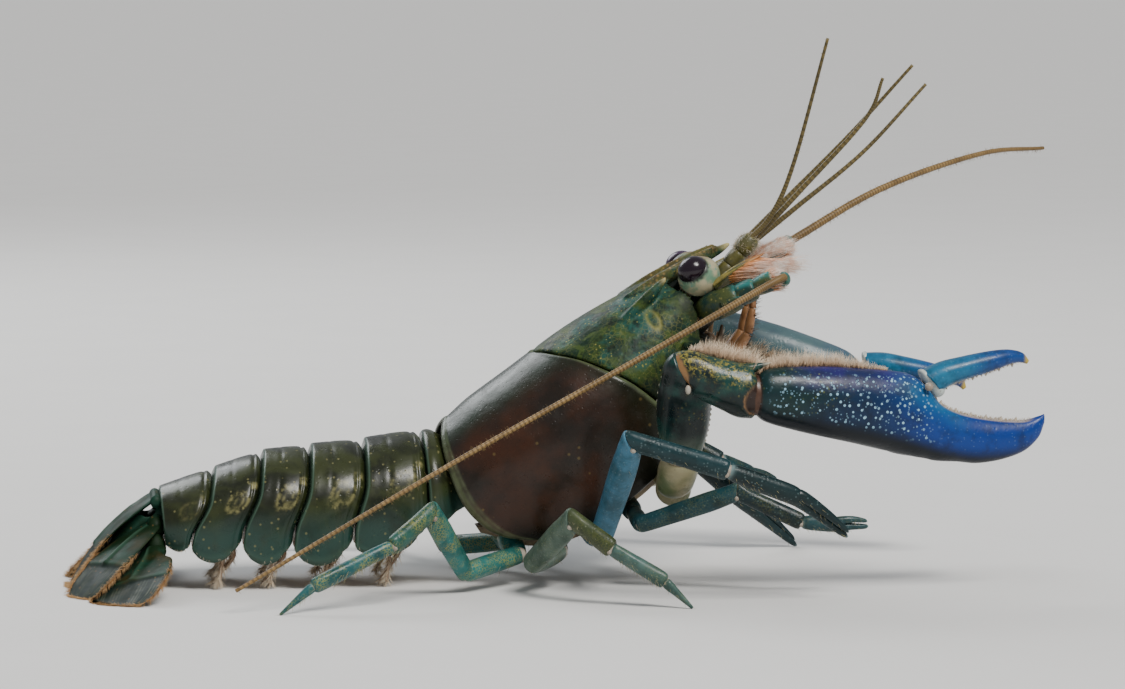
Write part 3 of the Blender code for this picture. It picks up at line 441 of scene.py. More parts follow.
def clawFinish():
    g = Graph("claw_shell")
    c = clawColours
    colour = g.mix(g.patchy("wrist", 260, 0.2, 0.6, 0.8), c["palm"], c["wrist"])
    colour = g.mix(g.mark("royal"), colour, c["royal"])
    colour = g.mix(g.patchy("purple", 160, 0.34, 0.6, 0.4), colour, c["purple"])
    colour = g.mix(g.patchy("cyan", 300, 0.3, 0.6, 0.6), colour, c["cyan"])
    colour = g.mix(g.ease(g.cloud(420, 5, 0.65), 0.45, 0.7) * 0.5, colour, c["under"])
    colour = g.mix(g.mark("wrist") * g.spots(1700, 0.2, 0.5) * g.ease(g.cloud(260, 2), 0.4, 0.6) * 0.5,
                   colour, c["gold"])
    colour = g.mix(g.patchy("inner", 220, 0.3, 0.6, 0.5, 1.0, 4), colour, c["inner"])
    colour = g.mix(g.mark("joint"), colour, (0.030, 0.012, 0.006))
    colour = g.mix(g.mark("under"), colour, c["under"])
    large = g.spots(1420, 0.23, 1.0, 0.09) * g.mark("spots")
    small = g.spots(2200, 0.17, 0.6, 0.1) * g.ease(g.mark("under"), 0.0, 0.6, 0.5, 0.0)
    colour = g.mix(large * g.ease(g.cloud(900, 2), 0.35, 0.6, 0.25, 0.9), colour, c["spot"])
    colour = g.mix(small * g.ease(g.mark("spots"), 0, 1, 0.2, 0.7), colour, c["spot"])
    colour = g.mix(g.mark("edge"), colour, c["edge"])
    colour = g.mix(g.mark("tip"), colour, c["tip"])
    colour = g.mix(g.mark("tooth"), colour, c["tooth"])
    return g.finish(colour, g.gloss(420, 0.28, 0.42),
                    [(large, 0.05), (g.ease(g.cells(1400), 0, 0.4), 0.02), (g.cloud(700, 4), 0.04)],
                    coat=0.06, specular=0.28)


armColours = {"base": (0.002, 0.009, 0.009), "teal": (0.005, 0.042, 0.034), "gold": (0.24, 0.20, 0.035),
              "pale": (0.15, 0.20, 0.14), "cream": (0.55, 0.50, 0.38)}


def armFinish():
    g = Graph("arm_shell")
    c = armColours
    colour = g.mix(g.ease(g.cloud(240, 4, 0.6), 0.42, 0.66), c["base"], c["teal"])
    flecks = g.spots(1800, 0.22, 0.5) * g.ease(g.cloud(260, 3), 0.42, 0.62)
    colour = g.mix(flecks * g.ease(g.mark("gold"), 0.0, 1.0, 0.25, 1.0), colour, c["gold"])
    colour = g.mix(g.mark("gold") * g.ease(g.cloud(2000, 5, 0.7, 0.6), 0.47, 0.6)
                   * g.ease(g.cloud(330, 3), 0.36, 0.56), colour, c["gold"])
    colour = g.mix(g.patchy("pale", 420, 0.3, 0.6, 0.5), colour, c["pale"])
    colour = g.mix(g.mark("cream"), colour, c["cream"])
    colour = g.mix(g.mark("joint"), colour,
                   g.mix(g.mark("jointRim"), (0.018, 0.008, 0.005), (0.20, 0.105, 0.040)))
    return g.finish(colour, g.gloss(500, 0.26, 0.4),
                    [(flecks, 0.04), (g.ease(g.cells(1300), 0, 0.35), 0.03), (g.cloud(800, 4), 0.05)],
                    coat=0.1, specular=0.32)


def legFinish(name, merus, carpus, hand, pale, net):
    # Three shades down the leg, with pale rims at the joints and fine light specks.
    g = Graph(name)
    colour = g.mix(g.mark("hand"), g.mix(g.mark("carpus"), merus, carpus), hand)
    colour = g.mix(g.ease(g.cloud(260, 5, 0.65), 0.38, 0.66), colour, (0.42, 0.50, 0.46), "MULTIPLY")
    mesh = g.ease(g.cells(2600, feature="DISTANCE_TO_EDGE"), 0.0, 0.16, 1.0, 0.0)
    colour = g.mix(mesh * g.ease(g.cloud(400, 3), 0.4, 0.6) * net, colour, (0.26, 0.25, 0.05))
    colour = g.mix(g.spots(2200, 0.2, 0.5) * 0.16, colour, pale)
    colour = g.mix(g.patchy("pale", 500, 0.3, 0.6, 0.5), colour, pale)
    return g.finish(colour, g.gloss(500, 0.32, 0.5),
                    [(g.ease(g.cells(1700), 0, 0.4), 0.03), (g.cloud(900, 4), 0.06)], coat=0.05, specular=0.3)


def softFinish(name, base, second, roughness=0.5, scale=400):
    g = Graph(name)
    colour = g.mix(g.ease(g.cloud(scale, 4), 0.36, 0.66), base, second)
    colour = g.mix(g.spots(1600, 0.16, 0.2) * 0.4, colour, (0.16, 0.12, 0.08))
    return g.finish(colour, g.ease(g.cloud(600, 3), 0.3, 0.7, roughness - 0.1, roughness + 0.08),
                    [(g.cloud(1200, 4), 0.05)])


def corneaFinish():
    g = Graph("cornea")
    # Painted sheen: a lilac tint that grows towards the rim with the viewing angle.
    paintedSheen = g.ease(g.node("Fresnel", None, {"IOR": 1.25}), 0.02, 0.5)
    colour = g.mix(paintedSheen * 0.4, (0.010, 0.004, 0.009), (0.09, 0.04, 0.11))
    return g.finish(colour, 0.2, [(g.cells(5200), 0.004)], coat=0.15, specular=0.35)


def feelerFinish(name, base, dark, count):
    # Fine rings run round each feeler.
    g = Graph(name)
    rings = g.ease(g.node("Math", {"operation": "SINE"}, {0: g.mark("along") * (count * 2 * pi)}), -0.2, 0.7)
    colour = g.mix(rings * 0.7, base, dark)
    colour = g.mix(g.ease(g.cloud(200, 3), 0.4, 0.65) * 0.5, colour, dark)
    return g.finish(colour, 0.45, [(rings, 0.02)], specular=0.3)


def hairFinish(name, root, tip):
    g = Graph(name)
    colour = g.mix(g.ease(g.cloud(900, 2), 0.35, 0.65) * 0.5, g.mix(g.mark("along"), root, tip), root)
    return g.finish(colour, 0.6, specular=0.25)


print("finishes and helpers ready")


# Camera, light and floor
view = {"azimuth": radians(-7), "elevation": radians(5), "distance": 600, "target": (-3.55, 0, 32.6),
        "lens": 138.24}


def makeStage():
    turn, tilt = view["azimuth"], view["elevation"]
    back = Vector((sin(turn) * cos(tilt), -cos(turn) * cos(tilt), sin(tilt)))
    camera = linked("camera", bpy.data.cameras.new("camera"))
    camera.location = (Vector(view["target"]) + back * view["distance"]) * mm
    camera.rotation_euler = back.to_track_quat("Z", "Y").to_euler()
    camera.data.lens = view["lens"]
    camera.data.sensor_width = 36
    camera.data.clip_start = 0.01
    camera.data.clip_end = 100
    bpy.context.scene.camera = camera
    bm = bmesh.new()
    bmesh.ops.create_circle(bm, segments=96, radius=20, cap_ends=True)
    mesh = bpy.data.meshes.new("floor")
    bm.to_mesh(mesh)
    bm.free()
    floor = linked("floor", mesh)
    g = Graph("floor_paper")
    mesh.materials.append(g.finish(g.mix(g.cloud(40, 3), (0.70, 0.69, 0.67), (0.74, 0.73, 0.71)), 0.8,
                                   specular=0.2))
    world = bpy.data.worlds.new("studio")
    world.use_nodes = True
    world.node_tree.nodes["Background"].inputs["Color"].default_value = (0.86, 0.90, 0.96, 1)
    world.node_tree.nodes["Background"].inputs["Strength"].default_value = 0.42
    bpy.context.scene.world = world
    sun = bpy.data.lights.new("sun", "SUN")
    sun.energy, sun.angle, sun.color = 2.6, radians(22), (1.0, 0.98, 0.95)
    daylight = linked("sun", sun)
    daylight.rotation_euler = Vector((0.25, -0.55, 0.8)).to_track_quat("Z", "Y").to_euler()
    # name, place, size, power, colour
    for name, place, size, power, colour in (
            ("key", (0.30, -0.50, 0.55), 0.12, 2.2, (1.0, 0.98, 0.94)),
            ("rim", (-0.30, 0.50, 0.45), 0.4, 2.5, (0.95, 0.98, 1.0))):
        lamp = bpy.data.lights.new(name, "AREA")
        lamp.size, lamp.energy, lamp.color = size, power, colour
        obj = linked(name, lamp)
        obj.location = place
        obj.rotation_euler = (Vector(place) - Vector((0, 0, 0.03))).to_track_quat("Z", "Y").to_euler()


makeStage()
print("stage ready")


# Carapace
shell = {
    "backLine": [(-5, -0.9), (0, 0), (5, 0.7), (15.2, 1.45), (21, 1.8), (27, 1.7), (33, 1.2), (39, 0.6)],
    "halfWidth": [(-5, 9.4), (0, 10.2), (5, 11.6), (11, 12.4), (17, 12.3), (23, 11.4), (29, 9.7), (39, 6.2)],
    "widest": [(-5, -9.5), (5, -10.5), (18, -10.3), (25, -8.6), (32, -6.4), (39, -4.4)],
    "lip": [(-5, -16.6), (0, -18.8), (4.6, -21), (9, -21.9), (18, -21.6), (24, -20), (28, -17.7), (39, -7.6)],
    "rearEdge": [(0, 0), (0.25, -2.6), (0.5, -4.1), (0.7, -3.4), (0.85, -1.6), (1, 1.5)],
    "groove": [(0, 15.2), (0.15, 17.6), (0.3, 21), (0.5, 24.6), (0.75, 27), (1, 28.4)],
    "frontEdge": [(0, 38.4), (0.2, 36.4), (0.3, 37.2), (0.42, 38.0), (0.55, 37.4), (0.7, 36.4), (0.85, 34.6),
                  (1, 31.8)],
    "lipTuck": 0.18, "lipThick": 1.1, "vaultRise": 2.4, "vaultHalf": 4.6, "vaultCloses": 28.4, "seam": 0.16,
    "lipTurn": 10 / 14, "core": -9.0, "sides": 120, "rings": 84,
}


def shellPoint(a, part, scale, relief=0.0):
    # part runs from 0 at the middle of the back to 1 at the lower lip.
    middle, half = curve(shell["widest"], a), curve(shell["halfWidth"], a)
    turn = part * pi
    y, d = half * sin(turn), between(middle, curve(shell["backLine"], a), cos(turn))
    if part >= 0.5:
        y = half * (1 - shell["lipTuck"] * (1 - sin(turn)))
        d = between(middle, curve(shell["lip"], a), -cos(turn))
    y, d = y * scale, between(middle, d, scale)
    return y + relief * sin(turn), d + relief * cos(turn)


def vaultPoint(a, share, scale):
    middle, lip = curve(shell["widest"], a), curve(shell["lip"], a)
    lipY = curve(shell["halfWidth"], a) * (1 - shell["lipTuck"])
    half = min(shell["vaultHalf"], lipY - 2 * shell["lipThick"])
    closing = max(0.0, min(1.0, (a - shell["vaultCloses"]) / 2))
    top = lip + between(shell["vaultRise"], shell["lipThick"] / 2, closing)
    path = [(lipY, lip), (lipY - shell["lipThick"], lip + shell["lipThick"] / 2), (half, top),
            (half / 2, top), (0, top)]
    i = min(int(share * 4), 3)
    y, d = [between(path[i][k], path[i + 1][k], share * 4 - i) for k in (0, 1)]
    return y * scale, between(middle, d, scale)


def shellRing(edge, scale, relief=None):
    def place(turn):
        share = abs(turn) / pi
        part = min(share / shell["lipTurn"], 1.0)
        a = edge(part)
        if share <= shell["lipTurn"]:
            y, d = shellPoint(a, part, scale, relief(a, part) if relief else 0.0)
        else:
            y, d = vaultPoint(a, (share - shell["lipTurn"]) / (1 - shell["lipTurn"]), scale)
        return bodyPoint(a, y if turn > 0 else -y, d)
    return place


def shellShare(rear, front, share):
    return lambda part: between(curve(rear, part), curve(front, part), share)


def backRelief(a, part):
    # Two shallow lines along the back, a crease along the flank and low unevenness.
    lines = -0.10 * hill(part, 0.075, 0.012) * rise(a, 0, 4)
    crease = -0.12 * hill(part, 0.36, 0.02) * rise(a, 6, 12) * rise(26, a, 27)
    return lines + crease + 0.10 * noise.noise(Vector((a * 0.22, part * 9, 1.7)))


def makeCarapaceBack():
    rear, groove = shell["rearEdge"], shell["groove"]
    profile = [(0, 1.0), (0.015, 1.014), (0.04, 1.016), (0.055, 1.004), (0.08, 1.0), (0.5, 1.0), (0.95, 1.0),
               (0.975, 1.004), (0.99, 1.0), (1, 0.985)]
    rings = [shellRing(lambda part: 3.0, 0.88), shellRing(shellShare(rear, groove, 0.0), 0.95)]
    for i in range(shell["rings"]):
        share = i / (shell["rings"] - 1)
        rings.append(shellRing(shellShare(rear, groove, share * 0.995), curve(profile, share), backRelief))
    ends = (bodyPoint(3.0, 0, shell["core"]), bodyPoint(22.0, 0, shell["core"]))
    bm = tube(shell["sides"], len(rings), lambda ring, turn: rings[ring](turn), ends)
    along, around = bm.verts.layers.float["along"], bm.verts.layers.float["around"]

    def seen(vert):
        return vert[along], abs(vert[around]) / shell["lipTurn"]

    paintAll(bm, seen, {
        "band": lambda share, part: 1 - rise(part, 0.16, 0.27) * (1 - 0.5 * rise(share, 0.85, 1)),
        "flank": lambda share, part: rise(part, 0.12, 0.3) * (1 - rise(part, 0.62, 0.95)),
        "rim": lambda share, part: max((1 - rise(share, 0.045, 0.06)) * 0.5, rise(share, 0.985, 0.992) * 0.8,
                                       hill(share, 0.066, 0.008) * 0.5, rise(part, 0.97, 0.99) * 0.4),
        "dark": lambda share, part: max(rise(share + part * 0.9, 1.1, 1.6), rise(part, 0.72, 0.95)) * 0.8,
        "under": lambda share, part: rise(part, 1.02, 1.06),
    })
    piece("carapace_back_shell", bm, backFinish(), "back_shell", "carapace_back")


head = {
    "rostrum": [(30, 3.3, 0.9, 2.1), (35, 3.2, 0.95, 1.9), (38, 2.9, 0.8, 1.8), (42, 2.3, 0.35, 1.5),
                (45, 1.3, -0.15, 1.1), (46.9, 0.25, -0.5, 0.45)],
    "teeth": [(37.4, 2.95, 0.45), (40.4, 2.6, 0.25), (43.2, 1.9, -0.1)], "tooth": (1.5, 0.62),
    "eyeRidge": [(27.0, 6.4, -1.2, 0.45), (29.5, 6.4, -0.75, 0.8), (32.5, 6.3, -0.15, 0.85),
                 (34.8, 6.1, 0.35, 0.65), (36.3, 6.0, 0.8, 0.22)],
    "rostrumEdge": [(30, 2.9), (38, 2.5), (42, 2.0), (46.9, 0.2)], "oval": (31.6, -2.9, 0.75, 1.35),
    "frontRecess": 30.5, "voxel": 0.23, "smoothing": 3, "sides": 84, "rings": 44,
    "brow": [(31.5, 4.6, 0.3, -2.6), (34.5, 4.4, 0.3, -2.8), (37, 3.3, 0.2, -3.0), (39.5, 2.4, -0.2, -3.2)],
}


def ovalReach(a, d):
    # 1 on the line of the oval mark behind the eye.
    middle, level, half, tall = head["oval"]
    return (((a - middle) / half) ** 2 + ((d - level) / tall) ** 2) ** 0.5


def makeCarapaceHead():
    rear = [(part, a + shell["seam"]) for part, a in shell["groove"]]
    front = shell["frontEdge"]
    profile = [(0, 0.985), (0.02, 0.997), (0.05, 1.0), (0.5, 1.0), (0.93, 1.0), (1, 0.98)]
    rings = []
    for i in range(head["rings"]):
        share = i / (head["rings"] - 1)
        rings.append(shellRing(shellShare(rear, front, share), curve(profile, share)))
    rings.append(shellRing(lambda part: head["frontRecess"], 0.7))
    ends = (bodyPoint(22.0 + shell["seam"], 0, shell["core"]), bodyPoint(head["frontRecess"], 0, -6.0))
    parts = [tube(head["sides"], len(rings), lambda ring, turn: rings[ring](turn), ends)]
    stations = [(bodyPoint(a, 0, top - thick / 2), forward, half, thick / 2)
                for a, half, top, thick in head["rostrum"]]
    parts.append(limb(stations, left, 32, 40, 2.6))
    length, radius = head["tooth"]
    for side in (-1, 1):
        # A raised rim along each side of the rostrum, its teeth, and the ridge behind the eye.
        edge = [(bodyPoint(a, side * half * 0.86, top + 0.12), forward, 0.42, 0.42)
                for a, half, top, thick in head["rostrum"]]
        parts.append(limb(edge[:-1], left, 12, 30))
        for a, y, d in head["teeth"]:
            root = bodyPoint(a, side * y, d)
            parts.append(spine(root, root + (forward * 0.85 + upward * 0.4 + left * side * 0.35) * length,
                               radius))
        ridge = [(bodyPoint(a, side * y, d), forward, thick, thick) for a, y, d, thick in head["eyeRidge"]]
        parts.append(limb(ridge, left, 16, 24))
        cheek = bodyPoint(33.6, side * 9.0, -8.3)
        parts.append(spine(cheek, cheek + (forward + left * side * 0.7) * 1.1, 0.6))
    bm = remeshed(joined(parts), head["voxel"], head["smoothing"])
    for vert in bm.verts:
        a, y, d = bodyPlace(vert.co)
        if a < 38 and d > -16:
            # Low scale-like grain that fades towards the groove.
            grain = noise.noise(Vector((a * 1.6, y * 1.6, d * 1.6))) * 0.025
            oval = -0.10 * hill(ovalReach(a, d), 1.0, 0.3) * rise(abs(y), 6, 8)
            vert.co += vert.normal * (grain * rise(a, 15, 24) + oval)

    def shade(a, y, d):
        # Painted shade: dark along the front edge below the eye, where shadow falls behind the antenna base,
        # and towards the lower rim.
        edge = 0.3 * rise(a, 33.2, 34.8) + 0.5 * rise(a, 35.0, 36.6)
        return 0.9 * max(edge * rise(-d, 2.0, 4.0), rise(-d, 7.6, 11.5))

    def rim(a, y, d):
        return rise(a, 45.0, 46.2) + hill(a, 36.2, 0.8) * hill(abs(y), 6.0, 0.7) * rise(d, -0.2, 0.4)

    def rostrum(a, y, d):
        return rise(a, 30, 37) * hill(abs(y) - curve(head["rostrumEdge"], a), 0, 0.75) * rise(d, -0.9, 0.2)

    paintAll(bm, lambda vert: bodyPlace(vert.co), {
        "shade": shade, "oval": lambda a, y, d: hill(ovalReach(a, d), 1.0, 0.28) * rise(abs(y), 6, 8),
        "rim": rim, "rostrum": rostrum,
        # Painted shade in the recess under the rostrum, between the eyes.
        "socket": lambda a, y, d: rise(a, 34.5, 36) * rise(-d, 1.6, 3.2) * (1 - rise(abs(y), 5.6, 6.6)),
    })
    piece("head_shell", bm, headFinish(), "head_shell", "carapace_head")


makeCarapaceBack()
makeCarapaceHead()
print("carapace ready")


# Abdomen
abdomen = {
    "rings": [((-19.0, 21.2), 14, 7.9, 11.2), ((-24.9, 20.9), 3, 9.2, 14.8), ((-32.8, 19.6), -2, 9.7, 15.8),
              ((-40.2, 18.9), -6, 9.5, 15.4), ((-46.8, 18.2), -8, 9.0, 14.2), ((-53.5, 16.0), -11, 8.2, 12.0),
              ((-61.2, 13.4), 6, 6.6, 8.2)],
    "plate": [(0, 0.88, 0.84), (0.05, 0.945, 0.86), (0.10, 0.985, 0.88), (0.15, 0.978, 0.90),
              (0.2, 1.005, 0.93), (0.3, 1.02, 0.97), (0.55, 1.035, 1.0), (0.8, 1.038, 0.96),
              (0.93, 1.04, 0.90), (0.985, 1.03, 0.87), (1.0, 0.98, 0.86)],
    "firstPlate": [(0, 0.9, 0.86), (0.25, 0.885, 0.86), (0.5, 0.885, 0.86), (0.64, 0.94, 0.88),
                   (0.8, 1.0, 0.9), (0.94, 1.0, 0.9), (1, 0.96, 0.86)],
    "bulge": 1.5, "short": 0.86, "belly": 0.8, "archEnds": 0.72, "archFall": 0.56, "pleuraTurn": 8 / 12,
    "sides": 96, "stations": 44,
}


def ringFrame(index, shift):
    (x, z), lean, half, depth = abdomen["rings"][index]
    lean = radians(lean)
    return Vector((x + shift, 0, z)), Vector((sin(lean), 0, -cos(lean))), half, depth


def ringPoint(ring, turn, scale, pleura, bulge):
    top, drop, half, depth = ring
    share = abs(turn) / pi
    side = 1 if turn > 0 else -1
    part = min(share / abdomen["pleuraTurn"], 1.0)
    arch = min(part / abdomen["archEnds"], 1.0) * pi / 2
    y, fall = half * sin(arch), abdomen["archFall"] * depth * (1 - cos(arch))
    if part > abdomen["archEnds"]:
        low = (part - abdomen["archEnds"]) / (1 - abdomen["archEnds"])
        y, fall = half * between(1.0, 0.95, low ** 2), between(abdomen["archFall"], pleura, low) * depth
    if share > abdomen["pleuraTurn"]:
        path = [(0.95 * half, pleura * depth), (0.83 * half, (pleura - 0.03) * depth),
                (0.6 * half, 0.855 * depth), (0.3 * half, 0.815 * depth), (0.0, abdomen["belly"] * depth)]
        s = (share - abdomen["pleuraTurn"]) / (1 - abdomen["pleuraTurn"]) * 4
        i = min(int(s), 3)
        y, fall = [between(path[i][k], path[i + 1][k], s - i) for k in (0, 1)]
    fall = between(abdomen["belly"] * 0.72 * depth, fall, scale)
    swell = max(0.0, min(1.0, (fall / depth - 0.3) / 0.45))
    back = bulge * swell * swell * (3 - 2 * swell)
    return top + drop * fall + Vector((-back, side * y * scale, 0))


def makeAbdomen(finish):
    for number in range(1, 7):
        front = ringFrame(number - 1, -0.15 if number > 1 else 0)
        rear = ringFrame(number, 0.15)
        frontBulge = abdomen["bulge"] if number > 2 else 0.0
        rearBulge = abdomen["bulge"] if 1 < number < 6 else 0.0
        profile = abdomen["firstPlate"] if number == 1 else abdomen["plate"]
        count = abdomen["stations"]

        def place(ring, turn):
            share = ring / (count - 1)
            scale = curve([(s, k) for s, k, p in profile], share)
            pleura = curve([(s, p) for s, k, p in profile], share)
            if number in (1, 6):
                pleura = between(abdomen["short"], pleura, 0.4)
            # A shallow cross groove and a low swelling on each flank.
            part = abs(turn) / pi / abdomen["pleuraTurn"]
            swelling = 0.012 * hill(part, 0.62, 0.16) * hill(share, 0.5, 0.25)
            scale += swelling - 0.006 * hill(share, 0.62, 0.05) * rise(part, 0.7, 0.5)
            first = ringPoint(front, turn, scale, pleura, frontBulge)
            return first.lerp(ringPoint(rear, turn, scale, pleura, rearBulge), share)

        ends = [top + drop * depth * abdomen["belly"] * abdomen["archEnds"] - Vector((bulge * 0.6, 0, 0))
                for (top, drop, half, depth), bulge in ((front, frontBulge), (rear, rearBulge))]
        bm = tube(abdomen["sides"], count, place, ends)
        along, around = bm.verts.layers.float["along"], bm.verts.layers.float["around"]

        def seen(vert):
            return vert[along], abs(vert[around]) / abdomen["pleuraTurn"]

        def ringMark(share, part):
            far = (((share - 0.40) * 7.5) ** 2 + ((part - 0.58) * 19) ** 2) ** 0.5
            spot = (((share - 0.13) * 7.5) ** 2 + ((part - 0.45) * 19) ** 2) ** 0.5
            rings = max(hill(far, 1.6, 0.3) * 0.75, hill(far, 0.75, 0.25) * 0.55)
            return max(rings, 0.9 - 0.9 * rise(spot, 0.45, 0.9)) * (1 if 1 < number < 6 else 0.3)

        def rim(share, part):
            rear = rise(share, 0.95, 0.975) * (1 - rise(part, 1.0, 1.04)) * 0.7
            return rear + rise(part, 0.95, 0.99) * (1 - rise(part, 1.02, 1.06)) * 0.4

        paintAll(bm, seen, {"ring": ringMark, "pleura": lambda share, part: rise(part, 0.62, 0.9), "rim": rim,
                            "under": lambda share, part: rise(part, 1.03, 1.12)})
        piece(f"abdomen_{number}_shell", bm, finish, "abdomen_shell", f"abdomen_{number}")


def makePleopods():
    parts = []
    for number in range(2, 6):
        front, rear = ringFrame(number - 1, 0), ringFrame(number, 0)
        top, drop, half, depth = [between(f, r, 0.5) for f, r in zip(front, rear)]
        for side in (-1, 1):
            for ramus in (0, 1):
                root = top + drop * depth * 0.72 + left * side * half * 0.42
                reach = root.z - 0.7
                outward = left * side
                bend = root + down * reach * 0.5 + outward * (0.6 + ramus) + Vector((0.6 - ramus * 1.5, 0, 0))
                tip = root + down * reach + outward * (0.8 + 1.6 * ramus) + Vector((-2.2 + ramus * 0.8, 0, 0))
                stations = [(root, down, 0.8, 0.5), (root.lerp(bend, 0.6), bend - root, 0.9, 0.5),
                            (bend, tip - root, 1.15, 0.4), (bend.lerp(tip, 0.6), tip - bend, 0.9, 0.3),
                            (tip, tip - bend, 0.3, 0.18)]
                parts.append(limb(stations, outward, 14, 16))
    piece("swimming_legs", joined(parts),
          softFinish("swimming_leg_skin", (0.42, 0.31, 0.22), (0.26, 0.16, 0.10)), "pale_joint")


abdomenShell = abdomenFinish()
makeAbdomen(abdomenShell)
makePleopods()
print("abdomen ready")


# Tail fan
tail = {
    "telson": ((-61.7, 0, 12.3), (-73.4, 0, -0.4), (0, 1, 0), 5.0, 0.9, 1.3),
    "inner": ((-61.7, 3.6, 8.9), (-72.4, 12.2, -0.4), (0.5, 0.86, 0.0), 4.1, 0.8, 0.8),
    "outer": ((-61.6, 5.3, 5.4), (-67.0, 20.2, -0.7), (0.9, 0.38, 0.3), 5.4, 0.8, 0.6),
    "telsonRim": [(0, 0.76, 1.2), (0.08, 0.86, 1.3), (0.25, 0.96, 1.2), (0.5, 1.0, 1.0), (0.75, 0.94, 0.85),
                  (0.9, 0.78, 0.8), (0.97, 0.56, 0.7), (1.0, 0.3, 0.6)],
    "bladeRim": [(0, 0.36, 1.3), (0.08, 0.55, 1.3), (0.25, 0.82, 1.2), (0.5, 1.0, 1.0), (0.75, 1.02, 0.85),
                 (0.9, 0.86, 0.8), (0.97, 0.6, 0.7), (1.0, 0.3, 0.6)],
    "stalkedRim": [(0, 0.28, 2.2), (0.05, 0.35, 2.9), (0.13, 0.37, 2.9), (0.19, 0.46, 1.9), (0.3, 0.8, 1.2),
                   (0.5, 1.0, 1.0), (0.75, 1.02, 0.85), (0.9, 0.88, 0.8), (0.97, 0.62, 0.7), (1.0, 0.3, 0.6)],
    "sides": 128, "stations": 70, "crowding": 1.35, "ribs": 34, "suture": 0.6,
}


def bladeShare(along):
    # Rings crowd towards the tip.
    return 1 - (1 - along) ** tail["crowding"]


def bladeFrame(spec, rim, side):
    root, tip, across, half, thick, lift = spec
    root = Vector((root[0], side * root[1], root[2]))
    tip = Vector((tip[0], side * tip[1], tip[2]))
    across = Vector((across[0], across[1] * (side or 1), across[2]))
    way = tip - root
    high = way.cross(across).normalized() * lift
    high = high if high.z > 0 else -high
    stations = []
    for share, broad, fat in rim:
        middle = root + way * share + high * sin(pi * share)
        stations.append((share, middle, way + high * pi * cos(pi * share), half * broad, thick * fat / 2))
    return stations, across, high.normalized()


def makeBlade(name, spec, rim, side, finish):
    stations, across, high = bladeFrame(spec, rim, side)
    count = tail["stations"]
    rings = []
    for ring in range(count):
        share = bladeShare(ring / (count - 1))
        middle = placeAt([(s[0], s[1]) for s in stations], share)
        way = placeAt([(s[0], s[2]) for s in stations], share).normalized()
        broad, fat = [curve([(s[0], s[k]) for s in stations], share) for k in (3, 4)]
        breadth = (across - way * across.dot(way)).normalized()
        upright = way.cross(breadth)
        rings.append((share, middle, breadth, upright if upright.dot(high) > 0 else -upright, broad, fat))

    def place(ring, turn):
        share, middle, breadth, upright, broad, fat = rings[ring]
        x, z = sin(turn), cos(turn)
        # The suture is a step, the soft end past it carries fine ribs, and the middle has a ridge.
        soft = rise(share, tail["suture"] - 0.01, tail["suture"] + 0.03)
        ribs = 0.045 * soft * sin(x * tail["ribs"] * 2) * abs(z)
        ridge = (0.28 if z > 0 else 0.0) * hill(x, 0.0, 0.10) * (1 - soft) * rise(share, 0.05, 0.2)
        step = -0.07 * soft * (z > 0) + 0.05 * hill(share, tail["suture"] - 0.02, 0.015) * (z > 0)
        thin = fat * (1 - 0.3 * soft)
        point = middle + breadth * x * broad + upright * (z * thin + ribs + ridge + step)
        point.z = max(point.z, 0.03)
        return point

    first, last = rings[0][1], rings[-1][1].copy()
    last.z = max(last.z, 0.05)
    bm = tube(tail["sides"], count, place, (first, last))
    along, around = bm.verts.layers.float["along"], bm.verts.layers.float["around"]

    def seen(vert):
        turn = vert[around] * pi
        return bladeShare(vert[along]), sin(turn), cos(turn)

    suture = tail["suture"]

    def ribMark(share, x, z):
        return rise(share, suture, suture + 0.1) * rise(sin(x * tail["ribs"] * 2), 0.3, 1.0)

    def ridgeMark(share, x, z):
        middle = hill(x, 0, 0.09) * (1 - rise(share, 0.5, 0.62)) * rise(z, 0, 0.3)
        return middle + hill(share, suture - 0.02, 0.012) * 0.5

    paintAll(bm, seen, {
        "soft": lambda share, x, z: rise(share, suture - 0.01, suture + 0.02), "ribs": ribMark,
        "ridge": ridgeMark,
        "edge": lambda share, x, z: (rise(share, 0.955, 0.985)
                                     + rise(abs(x), 0.985, 0.999) * rise(share, 0.55, 0.75)),
    })
    piece(name + "_shell", bm, finish, "tail_fan", name)


def makeTailBase(finish):
    # The hinge of the middle plate, the flesh under it and the rounded stalks that carry the side blades.
    across = Vector((1, 0, 0))
    hinge = [(Vector((-61.55, y, z)), left, 0.75, 0.85)
             for y, z in ((-4.2, 11.9), (-1.5, 12.35), (1.5, 12.35), (4.2, 11.9))]
    run = Vector((-11.7, 0, -12.7)).normalized()
    flesh = [(Vector((-59.2, 0, 9.9)), across, 3.6, 2.2), (Vector((-61.3, 0, 10.2)), across, 3.6, 2.3),
             (Vector((-63.2, 0, 9.3)), run, 3.6, 1.7), (Vector((-66.0, 0, 6.8)), run, 3.2, 1.2),
             (Vector((-68.4, 0, 4.2)), run, 1.8, 0.5)]
    parts = [limb(hinge, across, 20, 20), limb(flesh, left, 32, 24)]
    for side in (-1, 1):
        parts.append(ball(Vector((-61.6, side * 3.7, 8.4)), 1.0, (1.3, 1.8, 1.7), 32))
        parts.append(ball(Vector((-61.7, side * 5.2, 5.8)), 1.0, (1.5, 1.6, 2.0), 32))
    piece("tail_base_shell", joined(parts), finish, "tail_fan")


tailShell = tailFinish()
makeTailBase(tailShell)
makeBlade("telson", tail["telson"], tail["telsonRim"], 0, tailShell)
for side in (-1, 1):
    makeBlade(f"uropod_inner_{sideNames[side]}", tail["inner"], tail["bladeRim"], side, tailShell)
    makeBlade(f"uropod_outer_{sideNames[side]}", tail["outer"], tail["stalkedRim"], side, tailShell)
print("tail fan ready")


